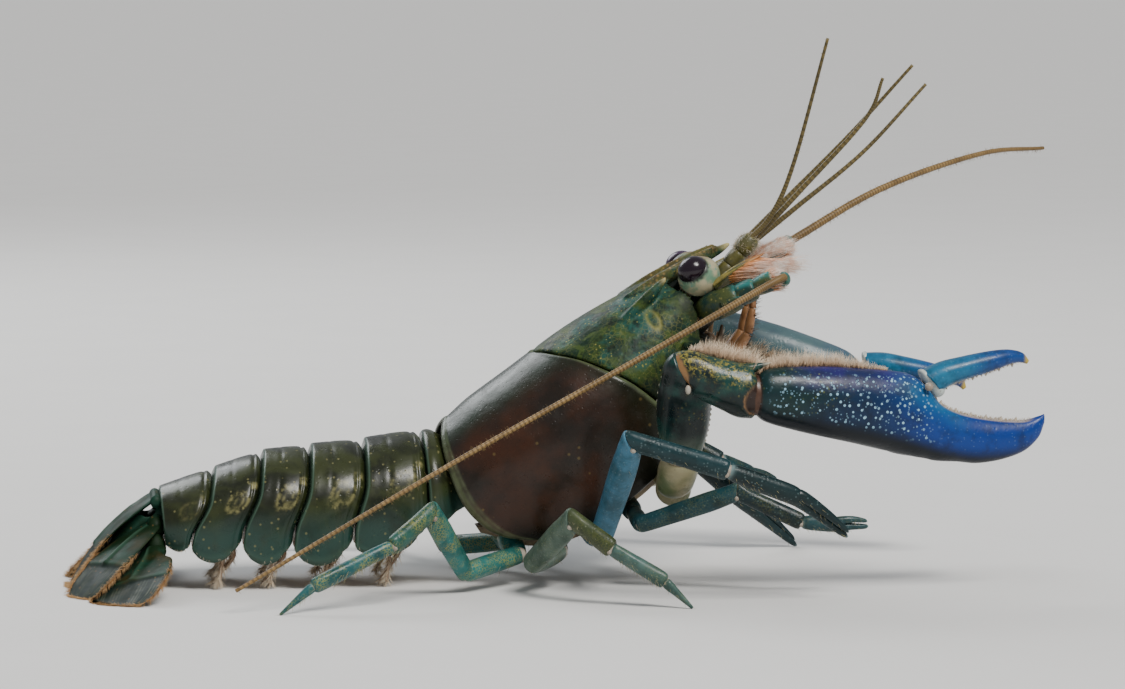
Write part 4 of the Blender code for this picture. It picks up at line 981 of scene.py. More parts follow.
# Face, eyes and underside
def makeFace():
    sections = [(30.85, 5.4, -1.9, -9.0), (34, 5.1, -1.9, -9.6), (37, 4.6, -2.3, -9.4),
                (39.5, 3.8, -2.8, -8.8), (41, 2.5, -3.5, -7.6)]
    stations = [(bodyPoint(a, 0, (top + low) / 2), forward, half, (top - low) / 2)
                for a, half, top, low in sections]
    brow = [(bodyPoint(a, 0, (top + low) / 2), forward, half, (top - low) / 2)
            for a, half, top, low in head["brow"]]
    bm = joined([limb(stations, left, 64, 48,
                      relief=lambda share, turn: 0.05 * sin(turn * 5) * rise(share, 0.3, 0.7)),
                 limb(brow, left, 40, 30)])
    # Painted shade over the face in its recess under the rostrum, darkest at the rear.
    paint(bm, "socket", lambda v: 0.95 - 0.7 * rise(bodyPlace(v.co)[0], 38, 41))
    piece("face_shell", bm, headFinish(), "head_shell", "face")


eyes = {"centre": (40.1, 5.6, -0.4), "root": (38.3, 2.5, -2.55), "cornea": (2.15, 1.85, 1.85),
        "shift": (-0.15, 0.0, 0.3), "cupShift": (0.35, -0.95, -1.0), "cup": (3.0, 2.75, 2.45)}


def egg(middle, axes, sizes):
    bm = ball(Vector((0, 0, 0)), 1.0, sides=56)
    for vert in bm.verts:
        x, y, z = vert.co
        vert.co = middle + axes[0] * x * sizes[0] + axes[1] * y * sizes[1] + axes[2] * z * sizes[2]
    return bm


def makeEye(side, cupSkin, cornea):
    a, y, d = eyes["centre"]
    middle = bodyPoint(a, side * y, d)
    root = bodyPoint(eyes["root"][0], side * eyes["root"][1], eyes["root"][2])
    out = (left * side * 0.9 + up * 0.36 - forward * 0.1).normalized()
    third = out.cross(forward).normalized()
    second = third.cross(out).normalized()
    third = third if third.z > 0 else -third
    centrePoint, cupPoint = [middle + second * x + third * y + out * z
                             for x, y, z in (eyes["shift"], eyes["cupShift"])]
    cup = egg(cupPoint, (second, third, out), eyes["cup"])
    for vert in cup.verts:
        vert.co += (vert.co - cupPoint).normalized() * 0.07 * noise.noise(vert.co * 0.8)
    stalk = limb([(root, cupPoint - root, 1.3, 1.3), (root.lerp(cupPoint, 0.5), cupPoint - root, 2.0, 1.9),
                  (cupPoint, cupPoint - root, 1.6, 1.6)], forward, 40, 20)
    bm = joined([cup, stalk])
    half, tall, swell = eyes["cornea"]
    paint(bm, "lip", lambda v: 1 - rise(((v.co - centrePoint).dot(second) / half) ** 2
                                        + ((v.co - centrePoint).dot(third) / tall) ** 2, 0.98, 1.14))
    # Painted light: the top of the stalk, where a backlit glow shows.
    paint(bm, "top", lambda v: rise((v.co - middle).z, 1.2, 2.2))
    piece(f"eye_{sideNames[side]}_stalk", bm, cupSkin, "pale_joint")
    globe = egg(centrePoint, (second, third, out), eyes["cornea"])
    piece(f"eye_{sideNames[side]}_cornea", globe, cornea, "eye", f"eye_{sideNames[side]}")


def cupFinish():
    g = Graph("eye_stalk_skin")
    cloud = g.ease(g.cloud(420, 4, 0.6), 0.4, 0.62)
    colour = g.mix(cloud, (0.36, 0.32, 0.20), (0.12, 0.22, 0.14))
    colour = g.mix(g.spots(1500, 0.2, 0.4) * 0.7, colour, (0.10, 0.24, 0.20))
    # Painted backlit glow: orange-brown towards the top of the stalk.
    colour = g.mix(g.mark("top") * 0.8, colour, (0.20, 0.07, 0.025))
    colour = g.mix(g.mark("lip"), colour, (0.02, 0.03, 0.02))
    return g.finish(colour, 0.36, [(g.cloud(900, 4), 0.04)], coat=0.1, specular=0.3)


def sternumWall(a, share, side):
    lip = curve(shell["lip"], a)
    low = between(lip + 1.2, lip - 2.0, rise(a, -5.0, 1.5))
    return bodyPoint(a, side * between(4.2, 2.4, share), between(lip + 2.1, low, share))


def makeSternum(skin):
    corners = [(1, 0.0), (1, 0.33), (1, 0.66), (1, 1.0), (-1, 1.0), (-1, 0.66), (-1, 0.33), (-1, 0.0)]
    count = 60

    def place(ring, turn):
        a = between(-4.0, 27.4, ring / (count - 1))
        x = (turn % (2 * pi)) / (2 * pi) * 8
        i = int(x) % 8
        first, second = corners[i], corners[(i + 1) % 8]
        one, two = sternumWall(a, first[1], first[0]), sternumWall(a, second[1], second[0])
        point = one.lerp(two, x - int(x))
        tight = min(1.0, (a + 6.5) / 6, (33.5 - a) / 8) * (1 - 0.06 * hill((a * 0.17) % 1.0, 0.5, 0.12))
        return Vector((point.x, point.y * tight, point.z))

    ends = [bodyPoint(a, 0, curve(shell["lip"], a) + 0.8) for a in (-4.0, 27.4)]
    piece("sternum_shell", tube(32, count, place, ends), skin, "pale_joint", "sternum")


paleSkin = softFinish("underside_skin", (0.27, 0.21, 0.13), (0.12, 0.085, 0.05))
jointSkin = softFinish("joint_skin", (0.38, 0.34, 0.28), (0.20, 0.15, 0.11), 0.42)
cupSkin, corneaSkin = cupFinish(), corneaFinish()
makeFace()
makeSternum(paleSkin)
for side in (-1, 1):
    makeEye(side, cupSkin, corneaSkin)
print("face ready")


# Walking legs
legs = {
    "hips": {1: (22.2, -23.6), 2: (15.2, -24.2), 3: (9.2, -24.2), 4: (3.6, -23.0), 5: (-1.4, -20.4)},
    -1: {2: [(4.1, -14, 9.1), (16.3, -21, 14.2), (24.7, -23, 10.2), (29.3, -23.2, 9.9), (33.8, -23, 9.5)],
         3: [(-1.4, -14.5, 7.6), (0.9, -28, 22.1), (13.3, -31, 18.3), (22.9, -30, 14.5), (30.0, -28, 8.8)],
         4: [(-11.1, -16, 4.2), (-6.8, -26, 11.5), (-1.9, -29, 7.8), (4.9, -30.6, 3.6), (8.5, -31.8, 0)],
         5: [(-20.0, -14, 2.9), (-25.4, -22, 12.2), (-31.0, -26, 8.2), (-41.6, -29.4, 3.6), (-46.2, -31, 0)]},
    1: {2: [(4.3, 13.5, 9.3), (13.0, 22, 18.0), (20.5, 20, 14.0), (25.5, 22, 11.5), (29.7, 24, 9.7)],
        3: [(-1.2, 14.5, 7.6), (5.0, 27, 21.0), (16.0, 24, 14.5), (25.0, 24, 7.0), (33.0, 27.6, 0)],
        4: [(-11.0, 16, 4.2), (-10.0, 26, 12.0), (-8.6, 30, 7.8), (-6.0, 31.4, 3.6), (-5.0, 32.0, 0)],
        5: [(-20.0, 14, 2.9), (-24.4, 22.5, 12.2), (-29.5, 27, 8.2), (-39.0, 30.2, 3.6), (-43.4, 31.6, 0)]},
    "thick": {2: 1.35, 3: 1.75, 4: 1.6, 5: 1.5}, "flat": 0.8,
    "hip": [(0.0, 0.86), (0.2, 1.0), (0.6, 1.04), (0.9, 0.96), (1.0, 0.6)],
    "claw": [(0, 0.75), (0.12, 1.0), (0.4, 0.78), (0.75, 0.5), (0.97, 0.3), (1.0, 0.12)],
    "ankle": [(-0.02, 0.50), (0.01, 0.80), (0.1, 0.92), (0.5, 1.0), (0.9, 0.98), (0.99, 0.86), (1.03, 0.60),
              (1.05, 0.25)],
    "segment": [(-0.02, 0.50), (0.01, 0.80), (0.08, 0.90), (0.4, 0.97), (0.75, 1.04), (0.94, 1.03),
                (1.0, 0.88), (1.03, 0.45)],
}


def hip(number, side):
    a, drop = legs["hips"][number]
    outward = left * side * 0.891 - upward * 0.454
    return sternumWall(a, 0.62, side) + outward * 0.54, outward, bodyPoint(a, side * 7.6, drop)


def segment(start, end, side, thick, tall, profile, rings=30):
    stations = [(start.lerp(end, s), end - start, thick * k, tall * k) for s, k in profile]
    return limb(stations, side, 22, rings, relief=lambda share, turn: 0.03 * sin(turn * 3 + share * 9))


def makeLeg(number, side, skin):
    thick, flat = legs["thick"][number], legs["flat"]
    root, outward, bend = hip(number, side)
    ischium, knee, wrist, palm, tip = [Vector(j) for j in legs[side][number]]
    fold = (knee - ischium).cross(wrist - knee).normalized()
    thighWay, shinWay = (knee - ischium).normalized(), (wrist - knee).normalized()
    kneeWay, kneeOut = (thighWay + shinWay).normalized(), (thighWay - shinWay).normalized()

    def rounded(places):
        return limb([(p, w, thick * flat * b, thick * h) for p, w, b, h in places], fold, 24, 44,
                    relief=lambda share, turn: 0.025 * sin(turn * 3 + share * 9))

    thigh = [(ischium - thighWay * 0.55, thighWay, 0.30, 0.34),
             (ischium - thighWay * 0.35, thighWay, 0.66, 0.70),
             (ischium + thighWay * 0.2, thighWay, 0.86, 0.90),
             (ischium.lerp(knee, 0.3), thighWay, 0.95, 0.97),
             (ischium.lerp(knee, 0.68), thighWay, 1.03, 1.05),
             (knee - thighWay * thick * 1.5, thighWay, 1.0, 0.98),
             (knee - thighWay * thick * 0.75, thighWay.lerp(kneeWay, 0.5), 0.97, 0.98),
             (knee - kneeWay * 0.13, kneeWay, 0.88, 1.0), (knee - kneeWay * 0.02, kneeWay, 0.5, 0.6)]
    shin = [(knee + kneeWay * 0.02, kneeWay, 0.5, 0.6), (knee + kneeWay * 0.13, kneeWay, 0.84, 0.96),
            (knee + shinWay * thick * 0.75, kneeWay.lerp(shinWay, 0.5), 0.88, 0.92),
            (knee + shinWay * thick * 1.5, shinWay, 0.86, 0.86),
            (knee.lerp(wrist, 0.84), shinWay, 0.90, 0.92), (wrist - shinWay * 0.15, shinWay, 0.82, 0.84),
            (wrist + shinWay * 0.1, shinWay, 0.45, 0.45)]
    parts = [segment(root, bend, fold, thick, thick * 1.05, legs["hip"]),
             segment(bend, ischium, fold, thick * 0.9, thick * 0.95, legs["ankle"], 24), rounded(thigh),
             rounded(shin)]
    if number > 3:
        parts += [segment(wrist, palm, fold, thick * flat * 0.74, thick * 0.74, legs["segment"]),
                  segment(palm, tip + up * 0.1, fold, thick * 0.4, thick * 0.48, legs["claw"])]
    else:
        high = fold.cross(tip - palm).normalized()
        high = high if high.z > 0 else -high
        foot = tip + up * 0.15 if tip.z == 0 else tip
        low, top = palm - high * thick * 0.26, palm + high * thick * 0.36
        end = tip + high * 0.8 - (tip - palm) * 0.06
        reach = tip - palm
        hand = [(wrist, palm - wrist, 0.4, 0.45), (wrist.lerp(palm, 0.1), palm - wrist, 0.62, 0.7),
                (wrist.lerp(palm, 0.5), palm - wrist, 0.68, 0.82),
                (wrist.lerp(palm, 0.92), palm - wrist, 0.66, 0.84), (low.lerp(tip, 0.12), reach, 0.5, 0.5),
                (low.lerp(tip, 0.5), reach, 0.36, 0.36), (low.lerp(foot, 0.9), reach, 0.24, 0.26),
                (foot, reach, 0.1, 0.1)]
        finger = [(palm - (palm - wrist) * 0.12, palm - wrist, 0.34, 0.36), (top, reach, 0.44, 0.44),
                  (top.lerp(end, 0.5) + high * 0.28, reach, 0.34, 0.34),
                  (top.lerp(end, 0.9) + high * 0.1, reach, 0.2, 0.22), (end, reach, 0.08, 0.08)]
        for stations, rings in ((hand, 44), (finger, 30)):
            parts.append(limb([(p, w, b * thick, h * thick) for p, w, b, h in stations], fold, 22, rings))
    bm = joined(parts)
    along = bm.verts.layers.float["along"]
    tile = bm.verts.layers.float["tile"]
    paint(bm, "pale", lambda v: max(1 - rise(v[along], 0.05, 0.14), rise(v[along], 0.90, 0.98)) * 0.55)
    paint(bm, "carpus", lambda v: 1.0 if v[tile] > 2.5 else 0.0)
    paint(bm, "hand", lambda v: 1.0 if v[tile] > 3.5 else 0.0)
    name = f"leg_{number}_{sideNames[side]}"
    piece(name + "_shell", bm, skin, "leg_teal", name + "_upper", name + "_lower")
    spots = [(bend, 0.80), (ischium, 0.60), (knee, 0.60), (wrist, 0.50), (palm, 0.42)]
    balls = [ball(place, thick * size, sides=20) for place, size in spots]
    # A small knuckle on the outer side of each joint.
    outer = fold if fold.y * side > 0 else -fold
    balls.append(ball(knee + outer * thick * 0.58 - kneeOut * thick * 0.42, thick * 0.26, sides=16))
    balls.append(ball(wrist + outer * thick * 0.42, thick * 0.24, sides=16))
    piece(name + "_joints", joined(balls), jointSkin, "pale_joint")


# merus, carpus, hand, pale end, strength of the gold net
legShades = {
    2: ((0.01, 0.05, 0.06), (0.004, 0.02, 0.024), (0.01, 0.05, 0.06), (0.22, 0.32, 0.3), 0.15),
    3: ((0.05, 0.17, 0.26), (0.006, 0.032, 0.038), (0.004, 0.02, 0.022), (0.3, 0.42, 0.42), 0.0),
    4: ((0.075, 0.12, 0.09), (0.045, 0.06, 0.022), (0.06, 0.12, 0.105), (0.36, 0.38, 0.26), 0.15),
    5: ((0.02, 0.15, 0.14), (0.018, 0.085, 0.065), (0.012, 0.09, 0.095), (0.3, 0.34, 0.22), 0.7),
}
for number, shade in legShades.items():
    legSkin = legFinish(f"leg_{number}_shell", *shade)
    for side in (-1, 1):
        makeLeg(number, side, legSkin)
print("legs ready")


# Claws
claws = {
    -1: {"arm": [(8.6, -13, 13.4), (9.0, -17.5, 18.4), (8.7, -24, 31.0), (18.0, -25, 27.7)],
         "way": (0.985, 0.12, -0.025),
         "gape": 0.0},
    1: {"arm": [(8.6, 13, 13.4), (9.0, 17.5, 18.6), (8.8, 22.5, 33.6), (17.8, 21, 32.6)],
        "way": (0.94, -0.2, -0.276),
        "gape": -8},
    "palm": [(0, 2.5, -2.6, 2.0), (1.5, 3.5, -3.6, 2.7), (5.9, 3.9, -4.8, 3.2), (11.6, 3.85, -6.0, 3.5),
             (17.2, 3.45, -7.2, 3.4), (21.6, 2.9, -8.1, 3.0), (24.1, 1.0, -8.6, 2.7), (26.0, -1.0, -8.9, 2.4),
             (28.5, -2.2, -9.0, 2.2), (31.7, -2.9, -9.2, 2.0), (35.5, -3.3, -8.6, 1.7),
             (38.3, -3.3, -7.5, 1.3), (40.2, -2.8, -5.8, 0.8), (41.0, -2.5, -3.9, 0.35)],
    "dactyl": [(24.5, 1.9, 2.0, 1.9), (26.6, 3.0, 1.75, 2.0), (29.0, 3.7, 1.6, 1.9), (31.4, 4.3, 1.5, 1.7),
               (33.8, 4.9, 1.3, 1.5), (35.8, 5.3, 1.0, 1.1), (37.4, 5.2, 0.7, 0.7), (38.4, 4.6, 0.3, 0.3)],
    "palmTeeth": [(25.4 + 0.72 * i, 0.30 + 0.22 * (i % 3 == 1)) for i in range(17)],
    "dactylTeeth": [(26.2 + 0.62 * i, 0.30 + 0.22 * (i % 3 == 1)) for i in range(17)],
    "rootWay": (0.72, 0.69), "thorn": (2.0, 4.4, 0.9),
    "merusEdge": [(0.1, 2.8), (0.4, 3.45), (0.7, 3.55), (0.95, 3.0)], "merusKnobs": {1: 13, -1: 9},
    "merusKnob": 0.24, "palmKnobs": {-1: [4.5 + 2.1 * i for i in range(9)], 1: []}, "palmKnob": 0.36,
    "belly": [(0, -0.6), (10, -2.2), (20, -4.2), (30, -6.6), (41, -6.0)],
    "fold": [(-2.1, 0.8, 0.3), (-1.5, 1.35, 0.55), (0.2, 1.6, 0.9), (1.7, 1.4, 1.1), (2.4, 0.8, 0.6)],
}


def clawFrame(side):
    way = Vector(claws[side]["way"]).normalized()
    sideways = up.cross(way).normalized()
    return Vector(claws[side]["arm"][3]), way, sideways, way.cross(sideways)


def clawPlace(side):
    # Tells how far a point lies from the wrist along the claw, outwards and up.
    origin, along, sideways, upright = clawFrame(side)

    def place(point):
        reach = point - origin
        return reach.dot(along), reach.dot(sideways) * side, reach.dot(upright)
    return place


def armFrame(side):
    # The arm's four joints, the ways along it and the axis it folds about.
    ischium, merus, elbow, wrist = [Vector(j) for j in claws[side]["arm"]]
    fold = (elbow - merus).cross(wrist - elbow).normalized()
    merusWay, wristWay = (elbow - merus).normalized(), (wrist - elbow).normalized()
    return (ischium, merus, elbow, wrist), (merusWay, (merusWay + wristWay).normalized(), wristWay), fold


def fingerHinge(side):
    origin, along, sideways, upright = clawFrame(side)
    forth, high = claws["dactyl"][0][:2]
    swing = Matrix.Rotation(-radians(claws[side]["gape"]), 3, sideways)
    return origin + along * forth + upright * high, swing


def makeClawBase(side, skin):
    (ischium, merus, elbow, wrist), (merusWay, elbowWay, wristWay), fold = armFrame(side)
    name = f"claw_{sideNames[side]}"
    root, outward, bend = hip(1, side)
    base = [limb([(root, outward, 2.0, 2.0), (root.lerp(bend, 0.4), bend - root, 2.3, 2.3),
                  (bend, bend - root, 1.8, 1.8)],
                 fold, 36, 26),
            limb([(bend, ischium - bend, 1.6, 1.6), (bend.lerp(ischium, 0.2), ischium - bend, 2.2, 2.25),
                  (bend.lerp(ischium, 0.8), ischium - bend, 2.3, 2.45), (ischium, ischium - bend, 1.8, 1.9)],
                  fold, 36, 26),
            limb([(ischium, merusWay, 1.7, 1.8), (ischium.lerp(merus, 0.2), merusWay, 2.25, 2.5),
                  (ischium.lerp(merus, 0.75), merusWay, 2.4, 2.75),
                  (merus - merusWay * 0.3, merusWay, 2.1, 2.4), (merus, merusWay, 1.7, 2.0)], fold, 36, 30)]
    piece(name + "_base", joined(base), skin, "pale_joint", name + "_ischium")


def makeMerus(side, skin):
    (ischium, merus, elbow, wrist), (merusWay, elbowWay, wristWay), fold = armFrame(side)
    name = f"claw_{sideNames[side]}"
    parts = [limb([(merus, merusWay, 1.6, 1.9), (merus.lerp(elbow, 0.04), merusWay, 2.05, 2.5),
                   (merus.lerp(elbow, 0.14), merusWay, 2.3, 2.9),
                   (merus.lerp(elbow, 0.4), merusWay, 2.6, 3.5), (merus.lerp(elbow, 0.7), merusWay, 2.7, 3.6),
                   (merus.lerp(elbow, 0.9), merusWay, 2.4, 3.3),
                   (merus.lerp(elbow, 0.985), elbowWay, 2.2, 3.15),
                   (elbow + elbowWay * 0.25, elbowWay, 1.8, 2.6)], fold, 64, 60,
                  relief=lambda share, turn: 0.035 * noise.noise(Vector((share * 9, turn * 2, side))))]
    # Rows of small round knobs down the edges of the upper arm.
    for edge, count in claws["merusKnobs"].items():
        for i in range(count):
            share = 0.16 + 0.72 * i / (count - 1)
            height = curve(claws["merusEdge"], share)
            spot = merus.lerp(elbow, share) + fold.cross(merusWay) * height * edge * 0.99 + fold * 0.45
            parts.append(ball(spot, claws["merusKnob"], sides=10))
    bm = joined(parts)
    reach = (elbow - merus).length
    paint(bm, "pale", lambda v: 1 - rise((v.co - merus).dot(merusWay) / reach, 0.05, 0.42))
    tile = bm.verts.layers.float["tile"]
    paint(bm, "cream", lambda v: 1.0 if v[tile] > 0.5 else 0.0)
    merusTree = BVHTree.FromBMesh(bm)
    piece(name + "_merus_shell", bm, skin, "arm_green", name + "_merus")
    return merusTree


def makeCarpus(side, skin, merusTree):
    (ischium, merus, elbow, wrist), (merusWay, elbowWay, wristWay), fold = armFrame(side)
    origin, along, sideways, upright = clawFrame(side)
    place = clawPlace(side)
    name = f"claw_{sideNames[side]}"
    reach, height, radius = claws["thorn"]
    thorn = spine(elbow.lerp(wrist, 0.85) + upright * 2.9, wrist + along * reach + upright * height, radius)
    inner = spine(elbow.lerp(wrist, 0.8) - sideways * side * 2.3, wrist + along * 0.6 - sideways * side * 3.7,
                  0.7)
    body = limb([(elbow - elbowWay * 0.1, elbowWay, 1.7, 2.4), (elbow.lerp(wrist, 0.03), elbowWay, 2.15, 3.0),
                 (elbow.lerp(wrist, 0.2), wristWay, 2.4, 3.0), (elbow.lerp(wrist, 0.5), wristWay, 2.7, 3.2),
                 (elbow.lerp(wrist, 0.78), wristWay, 2.8, 3.6), (elbow.lerp(wrist, 0.93), along, 2.55, 3.35),
                 (wrist - along * 0.15, along, 2.0, 2.5)], sideways, 64, 60,
                relief=lambda share, turn: 0.04 * noise.noise(Vector((share * 7, turn * 2, side + 3))))

    def crescent(vert):
        # How far a point lies into the soft skin that shows in front of the wrist.
        l, w, h = place(vert.co)
        return l + 2.3 * max(0.0, 1 - ((h + 0.7) / 2.9) ** 2) * rise(w, 0.6, 1.4)

    for vert in body.verts:
        l, w, h = place(vert.co)
        axis = origin + along * l - upright * 0.2
        vert.co = vert.co.lerp(axis, 0.13 * rise(crescent(vert), 0.0, 0.16) * rise(w, 0.6, 1.4))
    bm = joined([body, thorn, inner])
    tile = bm.verts.layers.float["tile"]

    elbowSpot = place(elbow)

    def elbowArc(vert):
        # 1 beside the upper arm, down to a low point on the outer side.
        l, w, h = place(vert.co)
        reach = merusTree.find_nearest(vert.co)[3]
        wide = hill(h, 3.4, 2.0)
        near = 1 - rise(reach, 0.25 + 0.35 * wide, 0.4 + 0.45 * wide)
        outward = w - elbowSpot[1] * l / elbowSpot[0]
        return near * rise(outward, 0.4, 1.1) * rise(h, 0.6, 1.6)

    paint(bm, "joint", lambda v: max(rise(crescent(v), -0.05, 0.1), elbowArc(v)) if v[tile] < 0.5 else 0.0)
    paint(bm, "jointRim", lambda v: hill(crescent(v), 0.12, 0.2) + 0.1 * hill(place(v.co)[0], -0.2, 0.3)
          + elbowArc(v))
    paint(bm, "gold", lambda v: rise(place(v.co)[2], 0.6, 3.0) * (1 - rise(place(v.co)[0], -2.4, 0.6)))
    paint(bm, "cream", lambda v: 0.7 * rise(place(v.co)[0], 0.6, 1.8) * rise(place(v.co)[2], 3.4, 4.2))
    piece(name + "_carpus_shell", bm, skin, "arm_green", name + "_carpus")


def makePalm(side, skin):
    origin, along, sideways, upright = clawFrame(side)
    place = clawPlace(side)
    name = f"claw_{sideNames[side]}"
    edge = [(l, top) for l, top, low, half in claws["palm"]]
    stations = [(origin + along * l + upright * (top + low) / 2, along, half, (top - low) / 2)
                for l, top, low, half in claws["palm"]]
    parts = [limb(stations, sideways, 80, 150, 2.15, relief=lambda share, turn: 0.02 * noise.noise(
        Vector((share * 14, cos(turn) * 2, sin(turn) * 2))))]
    for l, tall in claws["palmTeeth"]:
        rootPoint = origin + along * l + upright * (curve(edge, l) - 0.15)
        parts.append(spine(rootPoint, rootPoint + (upright + along * 0.15) * (tall + 0.1), 0.2 + 0.35 * tall,
                           sideways, 10))
    for l in claws["palmKnobs"][side]:
        knob = origin + along * l + upright * (curve(edge, l) - 0.3) - sideways * side * 1.4
        parts.append(ball(knob, claws["palmKnob"], (1.2, 1, 1), 12))
    bm = joined(parts)
    tile = bm.verts.layers.float["tile"]

    def belowBelly(l, h):
        return curve(claws["belly"], l) - h

    def spotField(l, w, h):
        field = rise(l, 0.8, 2.8) * (1 - rise(l, 22, 26)) * rise(w, -0.8, 0.6)
        return field * (1 - rise(h, 2.2, 3.4)) * (1 - rise(belowBelly(l, h), 0.5, 1.7))

    def cyanPatch(l, w, h):
        return 0.55 * rise(l, 17, 22) * hill(h - (23 - l) * 0.5, 0.2, 1.9) * (1 - rise(l, 26, 31))

    def biteEdge(l, w, h):
        return rise(l, 24.4, 26) * (1 - rise(l, 37.5, 40)) * rise(h - curve(edge, l), -0.35, -0.12) * 0.7

    marks = {
        "wrist": lambda l, w, h: 1 - rise(l - h * 1.2, 5, 15),
        "royal": lambda l, w, h: rise(l, 14, 26),
        "purple": lambda l, w, h: rise(l, 3, 8) * (1 - rise(l, 21, 25)) * rise(h, 0.2, 2.6) * 0.9,
        "cyan": cyanPatch, "under": lambda l, w, h: rise(belowBelly(l, h), 0.0, 2.3), "spots": spotField,
        "inner": lambda l, w, h: rise(-w + 0.9 * side, -0.6, 0.7) * (1 - rise(l, 22, 30)),
        "edge": biteEdge, "joint": lambda l, w, h: 1 - rise(l, 0.1, 0.5),
    }
    paintAll(bm, lambda vert: place(vert.co), marks)
    paint(bm, "tooth", lambda v: 0.9 if 0.5 < v[tile] < len(claws["palmTeeth"]) + 0.5 else 0.0)
    piece(name + "_palm_shell", bm, skin, "claw_blue", name + "_palm")


def makeDactyl(side, skin):
    origin, along, sideways, upright = clawFrame(side)
    hinge, swing = fingerHinge(side)
    name = f"claw_{sideNames[side]}"
    first = claws["dactyl"][0]
    line = [(l, h) for l, h, height, half in claws["dactyl"]]
    depth = [(l, height) for l, h, height, half in claws["dactyl"]]
    stations = []
    for i, (l, h, height, half) in enumerate(claws["dactyl"]):
        after, before = claws["dactyl"][min(i + 1, 7)], claws["dactyl"][max(i - 1, 0)]
        run = (after[0] - before[0], after[1] - before[1]) if i else claws["rootWay"]
        reach = along * (l - first[0]) + upright * (h - first[1])
        stations.append((hinge + swing @ reach, swing @ (along * run[0] + upright * run[1]), half, height))
    parts = [limb(stations, sideways, 60, 90, 2.1)]
    for l, tall in claws["dactylTeeth"]:
        reach = along * (l - first[0]) + upright * (curve(line, l) - first[1] - curve(depth, l) + 0.15)
        inward = swing @ (-upright + along * 0.12)
        parts.append(spine(hinge + swing @ reach, hinge + swing @ reach + inward * (tall + 0.1),
                           0.2 + 0.35 * tall, sideways, 10))
    bm = joined(parts)
    tile = bm.verts.layers.float["tile"]

    def reachOf(vert):
        return (swing.transposed() @ (vert.co - hinge)).dot(along)

    paint(bm, "royal", lambda v: rise(reachOf(v), 1.5, 8))
    paint(bm, "cyan", lambda v: 0.9 - rise(reachOf(v), 2, 10) * 0.75)
    paint(bm, "tip", lambda v: rise(reachOf(v), 13.0, 13.7))
    paint(bm, "tooth", lambda v: 0.9 if v[tile] > 0.5 else 0.0)
    piece(name + "_dactyl_shell", bm, skin, "claw_blue", name + "_dactyl")


def makeClawSkins(side, wristSkin, foldSkin):
    # Soft skins at the elbow and the wrist, the pale fold at the moving finger, and small knuckles.
    (ischium, merus, elbow, wrist), (merusWay, elbowWay, wristWay), fold = armFrame(side)
    origin, along, sideways, upright = clawFrame(side)
    hinge, swing = fingerHinge(side)
    name = f"claw_{sideNames[side]}"
    soft = [limb([(elbow - merusWay * 1.3, merusWay, 1.4, 2.0),
                  (elbow - merusWay * 0.3, elbowWay, 1.75, 2.45),
                  (elbow + wristWay * 0.4, wristWay, 1.6, 2.3), (elbow + wristWay * 1.2, wristWay, 1.2, 1.8)],
                  fold, 48, 20),
            limb([(wrist - along * 1.1, along, 1.8, 2.3), (wrist - along * 0.4, along, 2.1, 2.7),
                  (wrist + along * 0.5, along, 2.05, 2.65), (wrist + along * 1.2, along, 1.8, 2.4)], sideways,
                  48, 20)]
    piece(name + "_wrist_skin", joined(soft), wristSkin, "pale_joint")
    knob = origin + along * 23.6 + upright * 1.4
    slope = swing @ (along * claws["rootWay"][1] - upright * claws["rootWay"][0])
    stations = [(hinge + slope * s, slope, half, thick) for s, half, thick in claws["fold"]]
    pleat = limb(stations, sideways, 32, 30)
    piece(name + "_finger_fold", pleat, foldSkin, "pale_joint")
    nub = elbow - fold * side * 2.15 * (1 if (fold * side).y * side < 0 else -1) - upright * 1.4 + along * 0.6
    balls = [ball(nub, 0.52, (0.75, 0.8, 1.25), 20), ball(knob + sideways * side * 2.35, 0.6, sides=20),
             ball(knob - sideways * side * 2.35, 0.6, sides=20), ball(merus, 1.95, (1, 1, 0.8), 28)]
    piece(name + "_joints", joined(balls), jointSkin, "pale_joint")


clawSkin, armSkin = clawFinish(), armFinish()
baseSkin = softFinish("claw_base_skin", (0.34, 0.30, 0.17), (0.11, 0.14, 0.06), 0.34, 260)
foldSkin = softFinish("finger_fold_skin", (0.52, 0.56, 0.52), (0.28, 0.34, 0.33), 0.4)
wristSkin = softFinish("wrist_skin", (0.026, 0.010, 0.006), (0.080, 0.034, 0.017), 0.4)
for side in (-1, 1):
    makeClawBase(side, baseSkin)
    makeCarpus(side, armSkin, makeMerus(side, armSkin))
    makePalm(side, clawSkin)
    makeDactyl(side, clawSkin)
    makeClawSkins(side, wristSkin, foldSkin)
print("claws ready")


